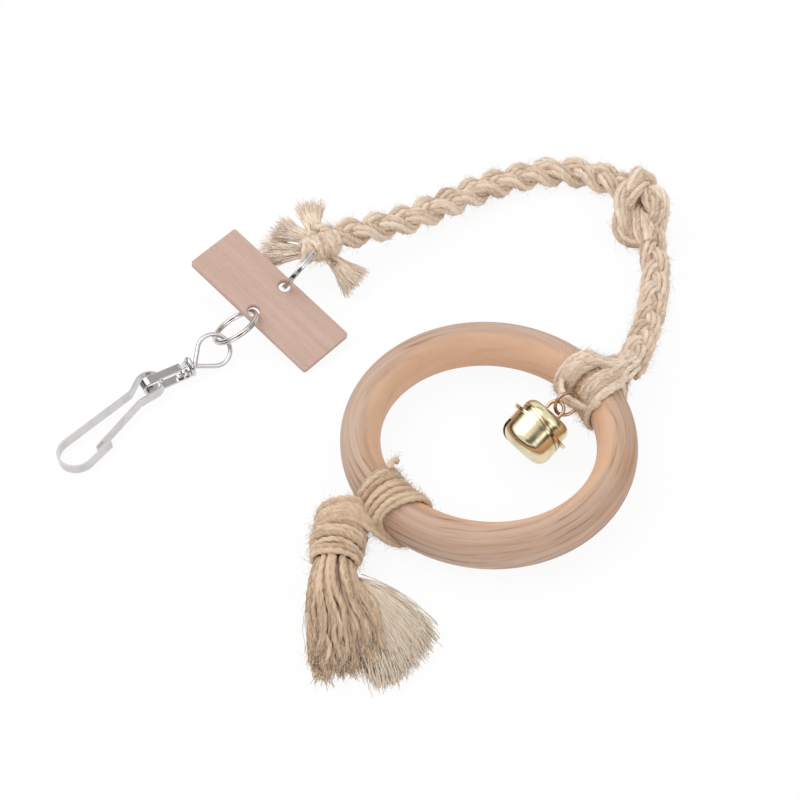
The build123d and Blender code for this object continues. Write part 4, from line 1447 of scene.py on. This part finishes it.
    def _yarns(self) -> None:
        """Cut yarns that spread from the collar over the floor, with fine fibres along them and at their ends."""
        threads = Threads(73)
        rng, count, fibres = threads.rng, self.cut_count, 14
        stack = self._bundle(threads, count)
        taper = 1 - 0.25 * np.linspace(0, 1, stack.shape[1])[None, :] ** 3
        threads.add(stack, self.cut_yarn * taper, Spin.SPREAD)
        silk = np.repeat(stack[:, 16:], 16, axis=0)
        grow = np.linspace(0.5, 1.0, silk.shape[1])[None, :, None]
        begin = rng.normal(0, 0.75, (len(silk), 1, 3))
        silk = silk + begin * grow + threads.ripple(silk.shape[1], 2, len(silk))[..., None] * 0.25 * grow
        silk = above(silk, 0.15)[:, ::3]
        threads.add(silk, self.silk_radius, sides=3, shade=rng.uniform(0.6, 1.4, len(silk)))
        ways = unit(stack[:, -1] - stack[:, -6])
        root = np.repeat(stack[:, -1], fibres, axis=0) + rng.normal(0, 0.4, (count * fibres, 3))
        way = unit(np.repeat(ways, fibres, axis=0) + rng.normal(0, 0.45, (count * fibres, 3)))
        reach = rng.uniform(1.0, 4.2, (count * fibres, 1, 1))
        s = np.linspace(0, 1, 4)[None, :, None]
        strays = above(root[:, None] + (s * reach - 1.2) * way[:, None], 0.15)
        threads.add(strays, 0.08, sides=3, shade=rng.uniform(0.8, 1.5, count * fibres))
        self._finish(threads, "tassel_yarns", self.finish, 1200)

    def _fray(self) -> None:
        """Paler combed bundle at the right: fine fibres that open like a brush.

        A fibre leaves the collar's foot, and its heading turns from the bundle's to its own as t; its height falls
        from the foot's to its own on the floor as t ** 1.3.
        """
        threads = Threads(74)
        rng, count, stations = threads.rng, self.fray_count, 12
        t = np.linspace(0, 1, stations)[None, :]
        share = rng.uniform(0, 1, (count, 1))
        first = np.radians(-66.0 + 54.0 * share + rng.normal(0, 4, (count, 1)))
        last = np.radians(-80.0 + 30.0 * share + rng.normal(0, 4, (count, 1)))
        turn = first + (last - first) * t
        reach = (27.5 - 4.0 * share) * (1 - 0.3 * rng.uniform(0, 1, (count, 1)) ** 2)
        step = reach / (stations - 1)
        x = -37.6 + rng.normal(0, 1.0, (count, 1)) + np.cumsum(np.cos(turn) * step, axis=1)
        y = -42.8 + rng.normal(0, 1.0, (count, 1)) + np.cumsum(np.sin(turn) * step, axis=1)
        level = rng.uniform(0, 1, (count, 1))
        z = (2.5 + 4.0 * level) * (1 - t**1.3) + (0.3 + 4.2 * level * (1 - 0.35 * share)) * t**1.3
        x, y = (line + threads.ripple(stations, 1.5, count) * 0.45 * t for line in (x, y))
        lines = above(np.stack([x, y, z], axis=-1), 0.2)
        threads.add(lines, self.fray_radius * (1 - 0.35 * t), sides=3, shade=rng.uniform(0.7, 1.5, count))
        self._finish(threads, "tassel_fray", self.pale, 0)


# ---------------------------------------------------------------- carried-over pieces
@dataclass
class Hardware:
    """Wood and metal whose solids are shown as they are, with their finishes."""

    bar_azimuth: float = -42.4
    bar_elevation: float = -15.0
    bar_centre: tuple = (-62.08, 52.55, 8.41)
    bell_centre: tuple = (13.99, 3.84, 9.77)
    bell_axis: tuple = (8.74, 5.53, 2.63)

    def build(self) -> None:
        """Dresses each solid that stays."""
        for finish, nodes in self._finishes():
            for node in nodes:
                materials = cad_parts[node].data.materials
                materials.clear()
                materials.append(finish)
                LOG.info("%s wears %s", node, finish.name)

    def _finishes(self) -> list[tuple[bpy.types.Material, tuple]]:
        """Finishes of wood and metal.

        Returns:
            Each material, with the nodes that wear it.
        """
        nickel = Metal("nickel", (0.66, 0.64, 0.63), (0.58, 0.56, 0.55), (0.13, 0.2), 0.000002)
        wire = Metal("steel_wire", (0.78, 0.76, 0.75), (0.45, 0.43, 0.42), (0.14, 0.3), 0.00008)
        # Plane of the bell's seam, beside which the brass gets painted shade.
        seam = (tuple(row(self.bell_centre)), tuple(unit(self.bell_axis)))
        brass = Metal("bell_brass", (0.80, 0.70, 0.46), (0.66, 0.56, 0.35), (0.18, 0.28), 0.00001, seam)
        copper = Metal("copper_wire", (0.58, 0.38, 0.25), (0.32, 0.20, 0.13), (0.16, 0.32), 0.00003)
        bar = BarWood(self.bar_azimuth, self.bar_elevation, tuple(row(self.bar_centre)))
        steel = "upper_split_ring lower_split_ring wire_eye stem_head eye_collar swivel_strap hook_body hook_gate"
        worn_by = (
            (TurnedWood(), ("perch_ring",)),
            (bar, ("wooden_bar",)),
            (nickel, tuple(steel.split())),
            (copper, ("bell_link", "bell_loop")),
            (brass, ("bell_upper_cup", "bell_lower_cup")),
            (wire, ("bell_pellet",)),
        )
        return [(finish.material(), nodes) for finish, nodes in worn_by]


def main() -> None:
    """Builds the studio, the cords and every piece."""
    logging.basicConfig(level=logging.INFO, format="%(name)s: %(message)s")
    Studio().build()
    jute = Jute("jute", srgb(252, 236, 218), srgb(228, 203, 178), srgb(132, 102, 78))
    golden = Jute("jute_golden", srgb(236, 212, 184), srgb(208, 178, 148), srgb(122, 86, 60))
    combed = Jute("jute_combed", srgb(255, 241, 222), srgb(255, 231, 205), srgb(252, 208, 168))
    plain, warm, pale = Finish(jute.material()), Finish(golden.material()), Finish(combed.material(), "jute_pale")
    Rope(plain, pale).build()
    RingYarn(plain, warm).build()
    Tassel(warm, pale).build()
    Hardware().build()


if __name__ == "__main__":
    main()
